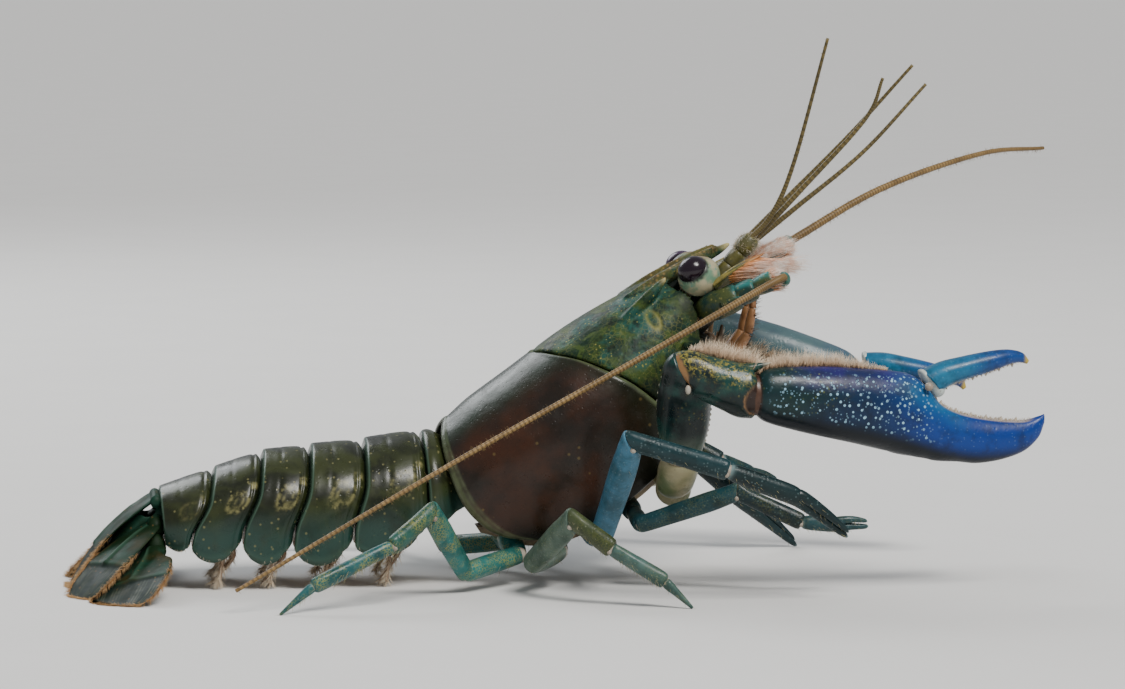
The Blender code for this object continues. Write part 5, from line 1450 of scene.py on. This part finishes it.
# Feelers and mouth limbs
feelers = {
    "flagellum": {-1: [(24.3, -10.3, 42.2), (22.0, -12.2, 41.6), (3.6, -16.6, 32.1), (-23, -24, 18.8),
                       (-51.9, -30, 3.2)],
                  1: [(28.2, 8.6, 46.0), (42.5, 14, 53.2), (59.2, 24, 57.7), (70.4, 31.5, 58.2)]},
    "peduncle": {-1: (23.3, -10, 42.3), 1: (27.6, 8.3, 45.6)},
    "antennule": {-1: (20.9, -2.2, 46.9), 1: (21.4, 1.8, 46.6)},
    "whips": {-1: [[(23.8, -3.2, 50.6), (26.7, -5, 58.3), (30.5, -9, 75.1)],
                   [(28.0, -2.6, 54.0), (37.0, -3, 63.9), (39.2, -4, 69.5)]],
              1: [[(26.5, 1.6, 52.4), (35.5, 1.0, 61.5), (44.2, 0, 71.2)],
                  [(28.4, 2.6, 51.4), (38.0, 3.6, 59.0), (47.1, 4.8, 68.4)]]},
    "scale": ((41.1, 5.9, -3.85), (48.8, 5.0, -4.0)),
    "scaleOutline": [(0, 0.9, 0.6), (0.15, 1.4, 0.55), (0.4, 1.85, 0.45), (0.65, 1.7, 0.4), (0.85, 1.05, 0.3),
                     (1, 0.3, 0.15)],
    "thick": 0.45, "thin": 0.22, "mouthShape": [(0, 0.6), (0.06, 0.9), (0.5, 1.02), (0.92, 0.95), (1.0, 0.6)],
    "mouthRuns": [(0, 2, 0.9, 1.0), (2, 3, 1.0, 0.9), (3, 4, 0.95, 0.85), (4, 5, 0.95, 0.6)],
    "mouthField": [(36.6, -8.6, 4.2), (37.4, -9.8, 4.8), (37.3, -11.2, 5.2), (36.2, -12.8, 5.3),
                   (34.4, -14.4, 5.1), (32.2, -16.0, 4.6), (30.2, -17.4, 4.0), (28.8, -18.4, 3.2)],
    "mouthParts": [([(30.5, 0.85, -16.9), (34.4, 0.95, -14.6), (37.6, 1.0, -12.3), (39.2, 0.9, -10.6)], 0.85),
                   ([(30.0, 4.3, -16.2), (34.0, 4.7, -13.8), (37.4, 4.6, -11.4), (39.6, 4.2, -9.2)], 0.6)],
    "mouth": [(27.8, 2.2, -17.6, 1.5, 1.2), (33, 2.4, -15.8, 1.6, 1.15), (38, 2.6, -14.2, 1.3, 0.9),
              (42.2, 2.6, -12.4, 1.05, 0.75), (44.6, 2.4, -9.8, 0.85, 0.6), (46, 2.2, -7.8, 0.5, 0.4)],
}


def antennaFinish():
    g = Graph("antenna_base_shell")
    colour = g.mix(g.ease(g.cloud(420, 5, 0.65), 0.42, 0.6), (0.008, 0.032, 0.024), (0.050, 0.065, 0.018))
    colour = g.mix(g.patchy("stripe", 500, 0.3, 0.6, 0.5), colour, (0.02, 0.17, 0.16))
    colour = g.mix(g.spots(1700, 0.2, 0.4) * 0.5, colour, (0.22, 0.20, 0.06))
    colour = g.mix(g.patchy("gold", 700, 0.3, 0.6, 0.5), colour, (0.24, 0.19, 0.045))
    colour = g.mix(g.mark("orange"), colour, (0.34, 0.12, 0.04))
    return g.finish(colour, 0.4, [(g.ease(g.cells(1500), 0, 0.4), 0.03), (g.cloud(900, 4), 0.04)], coat=0.05,
                    specular=0.3)


def makeAntenna(side, baseSkin, whipSkin):
    name = sideNames[side]
    root, elbow = bodyPoint(38.4, side * 4.6, -5.9), bodyPoint(41.4, side * 7.4, -6.3)
    end = Vector(feelers["peduncle"][side])
    way = end - elbow

    def part(*places):
        return limb([(elbow.lerp(end, s), way, r, r) for s, r in places], upward, 36, 30)

    first = limb([(root, left * side, 1.4, 1.4), (root.lerp(elbow, 0.4), elbow - root, 2.0, 1.95),
                  (elbow, way, 1.95, 1.95), (elbow.lerp(end, 0.22), way, 1.8, 1.8),
                  (elbow.lerp(end, 0.3), way, 1.1, 1.1)],
                 upward, 40, 40)
    thornRoot = elbow + left * side * 1.5
    knuckle, turnWay = [Vector(p) for p in feelers["flagellum"][side][:2]]
    turnWay = (turnWay - knuckle).normalized()
    bm = joined([first, part((0.2, 1.0), (0.27, 1.5), (0.42, 1.62), (0.56, 1.5), (0.62, 1.0)),
                 part((0.55, 0.85), (0.61, 1.2), (0.8, 1.42), (0.93, 1.35), (1.0, 0.95)),
                 spine(thornRoot, thornRoot + (way.normalized() + left * side * 0.3) * 2.2, 0.7),
                 limb([(knuckle - turnWay * 0.5, turnWay, 0.6, 0.6),
                       (knuckle - turnWay * 0.35, turnWay, 0.95, 0.95),
                       (knuckle + turnWay * 0.1, turnWay, 1.02, 1.02),
                       (knuckle + turnWay * 0.5, turnWay, 0.9, 0.9),
                       (knuckle + turnWay * 0.65, turnWay, 0.5, 0.5)], upward, 28, 24)])
    tile = bm.verts.layers.float["tile"]
    bm.normal_update()
    paint(bm, "stripe", lambda v: max(rise((v.co - elbow).dot(way) / way.length_squared, 0.15, 0.35)
                                      * rise(v.normal.z, 0.25, 0.7),
                                      0.7 * (v[tile] > 3.5)))
    piece(f"antenna_{name}_base", bm, baseSkin, "head_shell", f"antenna_{name}_peduncle")
    line = [Vector(p) for p in feelers["flagellum"][side]]
    piece(f"antenna_{name}_whip", whip(line, 0.6, 0.26, 220, 12), whipSkin, "feeler",
          f"antenna_{name}_flagellum")
    cap = ball(end, 1.02, (1, 1, 1), 28)
    piece(f"antenna_{name}_joint", cap, jointSkin, "pale_joint")
    base, tip = [bodyPoint(a, side * y, d) for a, y, d in feelers["scale"]]
    reach = tip - base
    across = left * side + upward * 0.6
    stations = [(base + reach * s, reach, half, thick) for s, half, thick in feelers["scaleOutline"]]
    outerRidge = [(base + reach * s + across.normalized() * half * 0.82, reach, 0.3, 0.34)
                  for s, half, thick in feelers["scaleOutline"][:-1]]
    outerRidge.append((tip + reach.normalized() * 0.9 + across.normalized() * 0.5, reach, 0.06, 0.06))
    bm = joined([limb(stations, across, 36, 44), limb(outerRidge, across, 14, 36)])
    tile = bm.verts.layers.float["tile"]
    paint(bm, "gold", lambda v: 1.0 if v[tile] > 0.5 else 0.25)
    paint(bm, "orange", lambda v: rise((v.co - base).dot(reach) / reach.length_squared, 0.55, 0.95) * 0.8)
    piece(f"antenna_{name}_blade", bm, baseSkin, "head_shell", f"antenna_{name}_scale")


def makeAntennule(side, baseSkin, whipSkin):
    name = f"antennule_{sideNames[side]}"
    root, end = bodyPoint(41.4, side * 1.3, -4.4), Vector(feelers["antennule"][side])
    way = (end - root).normalized()
    outer, inner = [[Vector(p) for p in points] for points in feelers["whips"][side]]
    apart = outer[0] - inner[0]
    apart = (apart - way * apart.dot(way)).normalized() * (feelers["thick"] + 0.15)

    def part(*places):
        return limb([(root.lerp(end, s), end - root, r, r) for s, r in places], left, 28, 24)

    parts = [part((0, 0.9), (0.1, 1.15), (0.4, 1.1), (0.5, 0.8)),
             part((0.46, 0.8), (0.52, 1.05), (0.7, 1.1), (0.78, 0.8)),
             part((0.74, 0.8), (0.8, 1.2), (0.95, 1.35), (1.06, 1.1), (1.1, 0.7))]
    bm = joined(parts)
    paint(bm, "orange", lambda v: 0.04)
    paint(bm, "gold", lambda v: 0.3)
    piece(name + "_base", bm, baseSkin, "feeler")
    outerWhip = whip([end - way + apart] + outer, feelers["thick"], feelers["thin"], 130, 10)
    piece(name + "_whip", outerWhip, whipSkin, "feeler", name)
    innerWhip = whip([end + way * 0.45 - apart] + inner, feelers["thick"], feelers["thin"], 130, 10)
    piece(name + "_inner_whip", innerWhip, whipSkin, "feeler", name + "_inner")


def makeMouthLimb(side, skin):
    points = [bodyPoint(a, side * y, d) for a, y, d, half, thick in feelers["mouth"]]
    sizes = [(half, thick) for a, y, d, half, thick in feelers["mouth"]]
    parts = []
    for first, last, start, finish in feelers["mouthRuns"]:
        run = points[last] - points[first]
        stations = []
        for s, k in feelers["mouthShape"]:
            half, thick = [between(one * start, two * finish, s) * k
                           for one, two in zip(sizes[first], sizes[last])]
            stations.append((points[first] + run * s, run, half, thick))
        parts.append(limb(stations, left, 28, 24))
    bm = joined(parts)
    piece(f"maxilliped_{sideNames[side]}_shell", bm, skin, "pale_joint", f"maxilliped_{sideNames[side]}")


def makeMouthField(fieldSkin, partSkin):
    # The soft wall behind the mouth limbs, with the smaller mouthparts laid over it in pairs. The wall's dark
    # colour is partly its own and partly painted shade of the shadowed mouth region.
    wall = limb([(bodyPoint(front - 2.4, 0, d), -upward, half, 2.4)
                 for front, d, half in feelers["mouthField"]], left, 48, 50,
                2.4, relief=lambda share, turn: 0.05 * sin(turn * 12))
    piece("mouth_field", wall, fieldSkin, "pale_joint")
    parts = []
    for side in (-1, 1):
        for points, radius in feelers["mouthParts"]:
            run = [bodyPoint(a, side * y, d) for a, y, d in points]
            sizes = [0.7, 1.0, 0.9, 0.3]
            parts.append(limb([(p, run[min(i + 1, 3)] - run[max(i - 1, 0)], radius * 1.15 * k, radius * k)
                               for i, (p, k) in enumerate(zip(run, sizes))], left, 24, 30))
        parts.append(ball(bodyPoint(37.0, side * 1.35, -10.5), 1.3, (1, 1, 0.9), 24))
    piece("mouth_parts", joined(parts), partSkin, "pale_joint")


antennaSkin = antennaFinish()
whipSkins = {-1: feelerFinish("near_whip_skin", (0.24, 0.15, 0.055), (0.07, 0.04, 0.012), 190),
             1: feelerFinish("far_whip_skin", (0.24, 0.15, 0.055), (0.07, 0.04, 0.012), 110)}
smallWhipSkin = feelerFinish("antennule_whip_skin", (0.13, 0.095, 0.030), (0.045, 0.034, 0.010), 50)
# Dark skin, partly painted shade for the shadowed mouth region.
fieldSkin = softFinish("mouth_field_skin", (0.085, 0.075, 0.040), (0.030, 0.034, 0.020), 0.45)
innerMouthSkin = softFinish("mouth_part_skin", (0.24, 0.15, 0.075), (0.10, 0.065, 0.035), 0.45)
mouthSkin = softFinish("mouth_limb_skin", (0.40, 0.20, 0.085), (0.20, 0.085, 0.035), 0.45)
for side in (-1, 1):
    makeAntenna(side, antennaSkin, whipSkins[side])
    makeAntennule(side, antennaSkin, smallWhipSkin)
    makeMouthLimb(side, mouthSkin)
makeMouthField(fieldSkin, innerMouthSkin)
print("feelers ready")


# Hair
def hairShape():
    # One tapering hair of unit length, as points and triangles.
    bm = bmesh.new()
    bmesh.ops.create_cone(bm, segments=3, radius1=1.0, radius2=0.12, depth=1.0, cap_ends=True)
    uprights = [edge for edge in bm.edges if abs(edge.verts[0].co.z - edge.verts[1].co.z) > 0.5]
    bmesh.ops.subdivide_edges(bm, edges=uprights, cuts=2)
    bmesh.ops.translate(bm, vec=(0, 0, 0.5), verts=bm.verts)
    bmesh.ops.triangulate(bm, faces=bm.faces)
    bmesh.ops.recalc_face_normals(bm, faces=bm.faces)
    bm.verts.index_update()
    points = np.array([vert.co[:] for vert in bm.verts])
    faces = np.array([[vert.index for vert in face.verts] for face in bm.faces])
    bm.free()
    return points, faces


# Tufts, first seed, length, thickness, hairs in a tuft, droop and spread
hairKinds = {
    "fringe": (760, 11, 0.95, 0.04, 2, 0.05, 0.12),
    "leg_2": (90, 31, 0.8, 0.035, 1, 0.1, 0.25), "leg_3": (90, 31, 0.8, 0.035, 1, 0.1, 0.25),
    "leg_4": (130, 31, 0.8, 0.035, 1, 0.1, 0.25), "leg_5": (130, 31, 1.15, 0.035, 1, 0.1, 0.25),
    "palmMat": (1700, 51, 2.8, 0.04, 2, 0.1, 0.2), "wristMat": (1100, 61, 3.2, 0.045, 2, 0.1, 0.2),
    "fixedFinger": (420, 71, 0.55, 0.035, 1, 0.0, 0.25), "movingFinger": (300, 81, 0.5, 0.035, 1, 0.0, 0.25),
    "scaleFan": (900, 91, 1.0, 0.05, 2, 0.0, 0.035), "antennuleKnob": (170, 101, 0.75, 0.035, 2, 0.1, 0.3),
    "antennaWrist": (260, 111, 1.9, 0.045, 2, 0.05, 0.15), "mouthLimb": (190, 121, 1.3, 0.04, 1, 0.1, 0.2),
    "longWhip": (620, 131, 0.62, 0.03, 1, 0.0, 0.2), "shortWhip": (130, 131, 0.4, 0.03, 1, 0.0, 0.2),
    "eyeBrow": (60, 141, 0.5, 0.03, 1, 0.1, 0.3), "swimmingLeg": (2400, 151, 1.7, 0.04, 2, 0.05, 0.2),
    "plateRim": (130, 160, 0.5, 0.03, 1, 0.0, 0.2),
}


def rootsOn(name, count, seed, weight):
    # Places on a skin, picked by face area times weight(skin), with each place's patch of the unwrap.
    # The mesh tools order faces anew at each run, so the faces are sorted by their corners first.
    mesh = made[name].data
    total = len(mesh.polygons)

    def read(source, key, width, size, kind="f4"):
        values = np.empty(size * width, dtype=kind)
        source.foreach_get(key, values)
        return values.reshape(size, width) if width > 1 else values

    corners = read(mesh.vertices, "co", 3, len(mesh.vertices)) / mm - np.array(centre)
    loops = read(mesh.loops, "vertex_index", 1, len(mesh.loops), "i4")
    starts, sizes = [read(mesh.polygons, key, 1, total, "i4") for key in ("loop_start", "loop_total")]
    starts, sizes = starts[:, None], sizes[:, None]
    first = loops[starts + np.arange(4) % sizes].argmin(axis=1)[:, None]
    faces = loops[starts + (first + np.arange(4)) % sizes]
    faces = faces[np.lexsort(faces.T[::-1])]
    spots = corners[faces]
    facing = np.cross(spots[:, 2] - spots[:, 0], spots[:, 3] - spots[:, 1])
    areas = np.linalg.norm(facing, axis=1)
    normals = facing / np.maximum(areas, 1e-12)[:, None]
    skin = SimpleNamespace(points=spots.mean(axis=1), normals=normals)
    for key in ("along", "around", "tile"):
        layer = mesh.attributes.get(key)
        values = read(layer.data, "value", 1, len(mesh.vertices)) if layer else np.zeros(len(mesh.vertices))
        setattr(skin, key, values[faces[:, 0]])
        if key == "tile":
            tiles = values.max() + 1
    chance = areas * np.maximum(weight(skin), 0)
    draw = np.random.default_rng(seed)
    picked = draw.choice(total, size=count, p=chance / chance.sum())
    shares = draw.dirichlet((1, 1, 1, 1), count)
    places = (corners[faces[picked]] * shares[..., None]).sum(axis=1)
    patch = np.stack([(skin.tile[picked] + skin.along[picked]) / tiles, skin.around[picked] * 0.5 + 0.5],
                     axis=1)
    return places, normals[picked], patch, draw


def tufts(name, kind, number, weight, way, tileOf, grown=None):
    # Rows of root, way, length, thickness, bend and patch; hairs grow in tufts from each root.
    count, seed, length, thick, hairs, droop, spread = hairKinds[kind]
    places, normals, patch, draw = rootsOn(name, count, seed + number, weight)
    ways = way(places, normals)
    ways = ways / np.linalg.norm(ways, axis=1, keepdims=True)
    rows = []
    patch = np.stack([(tileOf[0] + 0.04 + 0.92 * patch[:, 0]) / tileOf[1], 0.02 + 0.96 * patch[:, 1]], axis=1)
    for _ in range(hairs):
        aim = ways + draw.normal(0, spread, ways.shape)
        aim = aim / np.linalg.norm(aim, axis=1, keepdims=True)
        reach = length * (grown(places) if grown else 1) * draw.uniform(0.6, 1.0, count)
        bend = np.array([0, 0, -1.0]) * droop + draw.normal(0, 0.08, ways.shape)
        rows.append((places - normals * 0.06, aim, reach, thick * draw.uniform(0.75, 1.15, count), bend,
                     patch))
    return [np.concatenate([row[i] for row in rows]) for i in range(6)]


def coat(name, groups, finish, slot):
    points, faces = hairShape()
    roots, ways, lengths, thicks, bends, patch = [np.concatenate([group[i] for group in groups])
                                                  for i in range(6)]
    count, size = len(roots), len(points)
    across = np.cross(ways, np.array([0.31, 0.57, 0.76]))
    across = across / np.linalg.norm(across, axis=1, keepdims=True)
    other = np.cross(ways, across)
    height = points[:, 2][None, :, None]
    reach = lengths[:, None, None] * height
    spots = roots[:, None] + ways[:, None] * reach + bends[:, None] * reach * height
    ring = across[:, None] * points[:, 0][None, :, None] + other[:, None] * points[:, 1][None, :, None]
    spots += ring * thicks[:, None, None]
    spots[..., 2] = np.maximum(spots[..., 2], 0.04 + 0.03 * points[:, 1][None, :])
    spots = (spots + np.array(centre)).reshape(-1, 3) * mm
    whole = (faces[None] + (np.arange(count) * size)[:, None, None]).reshape(-1, 3)
    mesh = bpy.data.meshes.new(name)
    mesh.vertices.add(len(spots))
    mesh.loops.add(whole.size)
    mesh.polygons.add(len(whole))
    mesh.vertices.foreach_set("co", spots.ravel())
    mesh.loops.foreach_set("vertex_index", whole.ravel())
    mesh.polygons.foreach_set("loop_start", np.arange(len(whole)) * 3)
    mesh.update(calc_edges=True)
    uv = mesh.uv_layers.new(name="OFBake")
    corner = points[faces.ravel()]
    offsets = np.stack([corner[:, 0], corner[:, 2] - 0.5], axis=1) * np.array([0.0012, 0.0026])
    uv.data.foreach_set("uv", (patch[:, None] + offsets[None]).ravel())
    tone = mesh.attributes.new("along", "FLOAT", "POINT")
    tone.data.foreach_set("value", np.tile(points[:, 2], count))
    dress(name, mesh, finish, slot)
    print(name, len(whole))


def leaning(normalPart, direction):
    # Hair that stands off the skin by a share and otherwise follows one direction.
    direction = np.array(direction, dtype=float)
    return lambda places, normals: normals * normalPart + direction


def makeTailFringe():
    groups = []
    blades = [("telson", "telson", 0), ("uropod_inner_right", "inner", -1), ("uropod_inner_left", "inner", 1),
              ("uropod_outer_right", "outer", -1), ("uropod_outer_left", "outer", 1)]

    def edge(skin):
        share = bladeShare(skin.along)
        side = np.where(np.abs(np.sin(skin.around * pi)) > 0.97, 2.5, 0) * np.clip((share - 0.35) * 3, 0.2, 1)
        return np.where(share > 0.96, 1.2, 0) + np.where(share > 0.42, 1, 0) * side

    for number, (name, key, side) in enumerate(blades):
        root, tip = [np.array([x, y * (side or 1), z]) for x, y, z in tail[key][:2]]
        run = (tip - root) / np.linalg.norm(tip - root)
        groups.append(tufts(name + "_shell", "fringe", number, edge, leaning(0.75, run * 0.75),
                            (number, len(blades))))
    coat("tail_fringe", groups, hairFinish("tail_fringe_hair", (0.34, 0.17, 0.06), (0.70, 0.48, 0.25)),
         "tail_fan")


def makeLegHair():
    groups = []

    def under(skin):
        return np.where(skin.tile > 3.5, 1.6, np.where(skin.tile > 2.5, 0.5, 0.08)) * np.clip(
            0.15 - skin.normals[:, 2], 0, 1)

    for side in (-1, 1):
        for leg in legShades:
            ischium, knee, wrist, palm, tip = [np.array(j, dtype=float) for j in legs[side][leg]]
            run = (tip - wrist) / np.linalg.norm(tip - wrist)
            groups.append(tufts(f"leg_{leg}_{sideNames[side]}_shell", f"leg_{leg}", len(groups), under,
                                leaning(0.6, run * 0.7), (len(groups), 8)))
    coat("leg_hair", groups, hairFinish("leg_bristles", (0.30, 0.26, 0.12), (0.50, 0.44, 0.26)), "leg_teal")


# Where each mat of hair lies along the claw, where its hair grows, and where it fades towards both ends
mats = {"palm": (0.3, 18.5, -6, 20.5, 9), "carpus": (-8.6, -0.3, -10, 9, 4),
        "heights": {-1: (0.2, 9), 1: (-5.5, 0.4)}, "shortest": 0.22, "finger": (24.2, 39)}


def makeClawMats():
    edges = []
    matSkin = hairFinish("claw_mat_hair", (0.50, 0.33, 0.20), (0.88, 0.75, 0.57))
    for number, side in enumerate((-1, 1)):
        origin, forth, sideways, upright = [np.array(v) for v in clawFrame(side)]
        name = f"claw_{sideNames[side]}"
        bottom, top = mats["heights"][side]
        mat = -sideways * side * 0.35 + upright * 0.75 + forth * 0.3

        def inner(spot):
            low, high = mats[spot][:2]

            def weight(skin):
                reach = skin.points - origin
                l, h = reach @ forth, reach @ upright
                band = np.clip((h - bottom) / 1.5, 0, 1) * np.clip((top - h) / 1.0, 0, 1)
                inside = (l > low) & (l < high) & (skin.tile < 0.5)
                return (inside & (skin.normals @ sideways * side < 0.1)) * band
            return weight

        def reaching(spot):
            first, last, fade = mats[spot][2:]

            def grown(places):
                l = (places - origin) @ forth
                return np.clip(np.minimum(l - first, last - l) / fade, mats["shortest"], 1)
            return grown

        groups = [tufts(name + "_palm_shell", "palmMat", number, inner("palm"), leaning(0.45, mat), (0, 2),
                        reaching("palm")),
                  tufts(name + "_carpus_shell", "wristMat", number, inner("carpus"), leaning(0.4, mat),
                        (1, 2), reaching("carpus"))]

        def finger(skin):
            l = (skin.points - origin) @ forth
            low, high = mats["finger"]
            return ((l > low) & (l < high) & (skin.normals @ upright > 0.8) & (skin.tile < 0.5)) * 1.0

        def thumb(skin):
            inside = (skin.along > 0.05) & (skin.along < 0.9) & (skin.tile < 0.5)
            return (inside & (skin.normals @ upright < -0.75)) * 1.0

        for spot, kind, weight in (("palm", "fixedFinger", finger), ("dactyl", "movingFinger", thumb)):
            edges.append(tufts(f"{name}_{spot}_shell", kind, number, weight, leaning(0.9, forth * 0.3),
                               (len(edges), 4)))
        coat(f"claw_mats_{sideNames[side]}", groups, matSkin, "arm_green")
    coat("finger_hair", edges, hairFinish("finger_bristles", (0.34, 0.26, 0.18), (0.58, 0.50, 0.40)),
         "claw_blue")


# Where the first and the last lock of each antennal scale end, how many locks there are and how long they get
hairFans = {-1: ((23.0, -5.6, 43.4), (29.8, -4.4, 43.6)), 1: ((22.5, 5.8, 45.4), (29.4, 4.6, 46.4)),
            "locks": 7, "longest": 7.6}


def makeHeadHair():
    groups, pale, dark = [], [], []
    for number, side in enumerate((-1, 1)):
        name = sideNames[side]
        base, tip = [np.array(bodyPoint(a, side * y, d)) for a, y, d in feelers["scale"]]
        reach = np.linalg.norm(tip - base)
        run = (tip - base) / reach

        def lockWay(places, normals):
            # Each lock of hair draws together towards a point of its own.
            lock = np.floor(np.clip((places - base) @ run / reach, 0, 0.999) * hairFans["locks"])
            near, far = [np.array(end) for end in hairFans[side]]
            lockTip = near + (far - near) * (lock[:, None] / (hairFans["locks"] - 1)) + 0.3 * np.stack(
                [np.sin(lock * 2.4), np.sin(lock * 4.1), np.cos(lock * 3.3)], axis=1)
            return lockTip - places

        def lockLength(places):
            return np.minimum(np.linalg.norm(lockWay(places, None), axis=1), hairFans["longest"])

        def end(skin):
            return ((skin.along > 0.28) & (skin.tile < 0.5)) * (skin.along - 0.15) * np.clip(
                0.9 - skin.normals[:, 2], 0.1, 1)

        def wrist(skin):
            return ((skin.tile > 1.5) & (skin.tile < 2.5) & (skin.along > 0.5)) * (skin.along - 0.35)

        def front(skin):
            return np.where(skin.tile > 0.5, 1.0, 0.25) * np.clip(skin.normals[:, 0] + 0.2, 0, 1)

        groups.append(tufts(f"antenna_{name}_blade", "scaleFan", number, end, lockWay, (number * 2, 4),
                            lockLength))
        groups.append(tufts(f"antenna_{name}_base", "antennaWrist", number, wrist,
                            leaning(0.3, run + np.array([0.4, 0, -0.2])), (number * 2 + 1, 4)))
        pale.append(tufts(f"antennule_{name}_base", "antennuleKnob", number,
                          lambda skin: (skin.tile > 1.5) * 1.0, leaning(0.9, run * 0.4), (number * 2, 4)))
        pale.append(tufts(f"eye_{name}_stalk", "eyeBrow", number, lambda skin: (skin.tile > 0.5) * 1.0,
                          leaning(0.8, run * 0.6), (number * 2 + 1, 4)))
        dark.append(tufts(f"maxilliped_{name}_shell", "mouthLimb", number, front, leaning(0.8, (0.3, 0, 0.5)),
                          (number, 2)))
    coat("head_tufts", groups, hairFinish("head_tuft_hair", (0.72, 0.27, 0.06), (1.0, 0.97, 0.92)),
         "head_shell")
    coat("feeler_tufts", pale, hairFinish("feeler_tuft_hair", (0.34, 0.28, 0.18), (0.74, 0.66, 0.52)),
         "feeler")
    coat("mouth_hair", dark, hairFinish("mouth_bristles", (0.07, 0.04, 0.02), (0.16, 0.10, 0.05)),
         "pale_joint")


def makeWhipHair():
    names = ["antenna_right_whip", "antenna_left_whip"] + [f"antennule_{s}_{p}" for s in ("right", "left")
                                                          for p in ("whip", "inner_whip")]

    def anywhere(skin):
        return np.where(skin.along > 0.04, 1.0, 0.0) * (1 + 2 * np.clip(-skin.normals[:, 2], 0, 1))

    groups = [tufts(name, "longWhip" if number < 2 else "shortWhip", number, anywhere,
                    leaning(1.0, (0, 0, 0)), (number, len(names))) for number, name in enumerate(names)]
    coat("whip_hair", groups, hairFinish("whip_bristles", (0.16, 0.10, 0.04), (0.34, 0.24, 0.12)), "feeler")


def makeBellyHair():
    def rim(skin):
        return np.abs(np.sin(skin.around * pi)) ** 6 + (skin.along > 0.85) * 0.6

    def lower(skin):
        part = np.abs(skin.around) / abdomen["pleuraTurn"]
        return ((part > 0.95) & (part < 1.06)) * 1.0

    groups = [tufts("swimming_legs", "swimmingLeg", 0, rim, leaning(0.7, (-0.25, 0, -0.75)), (0, 7))]
    for number in range(1, 7):
        groups.append(tufts(f"abdomen_{number}_shell", "plateRim", number, lower, leaning(0.4, (0, 0, -0.7)),
                            (number, 7)))
    coat("belly_hair", groups, hairFinish("swimming_leg_hair", (0.58, 0.46, 0.32), (0.86, 0.77, 0.62)),
         "abdomen_shell")


makeTailFringe()
makeLegHair()
makeClawMats()
makeHeadHair()
makeWhipHair()
makeBellyHair()
print("hair ready")
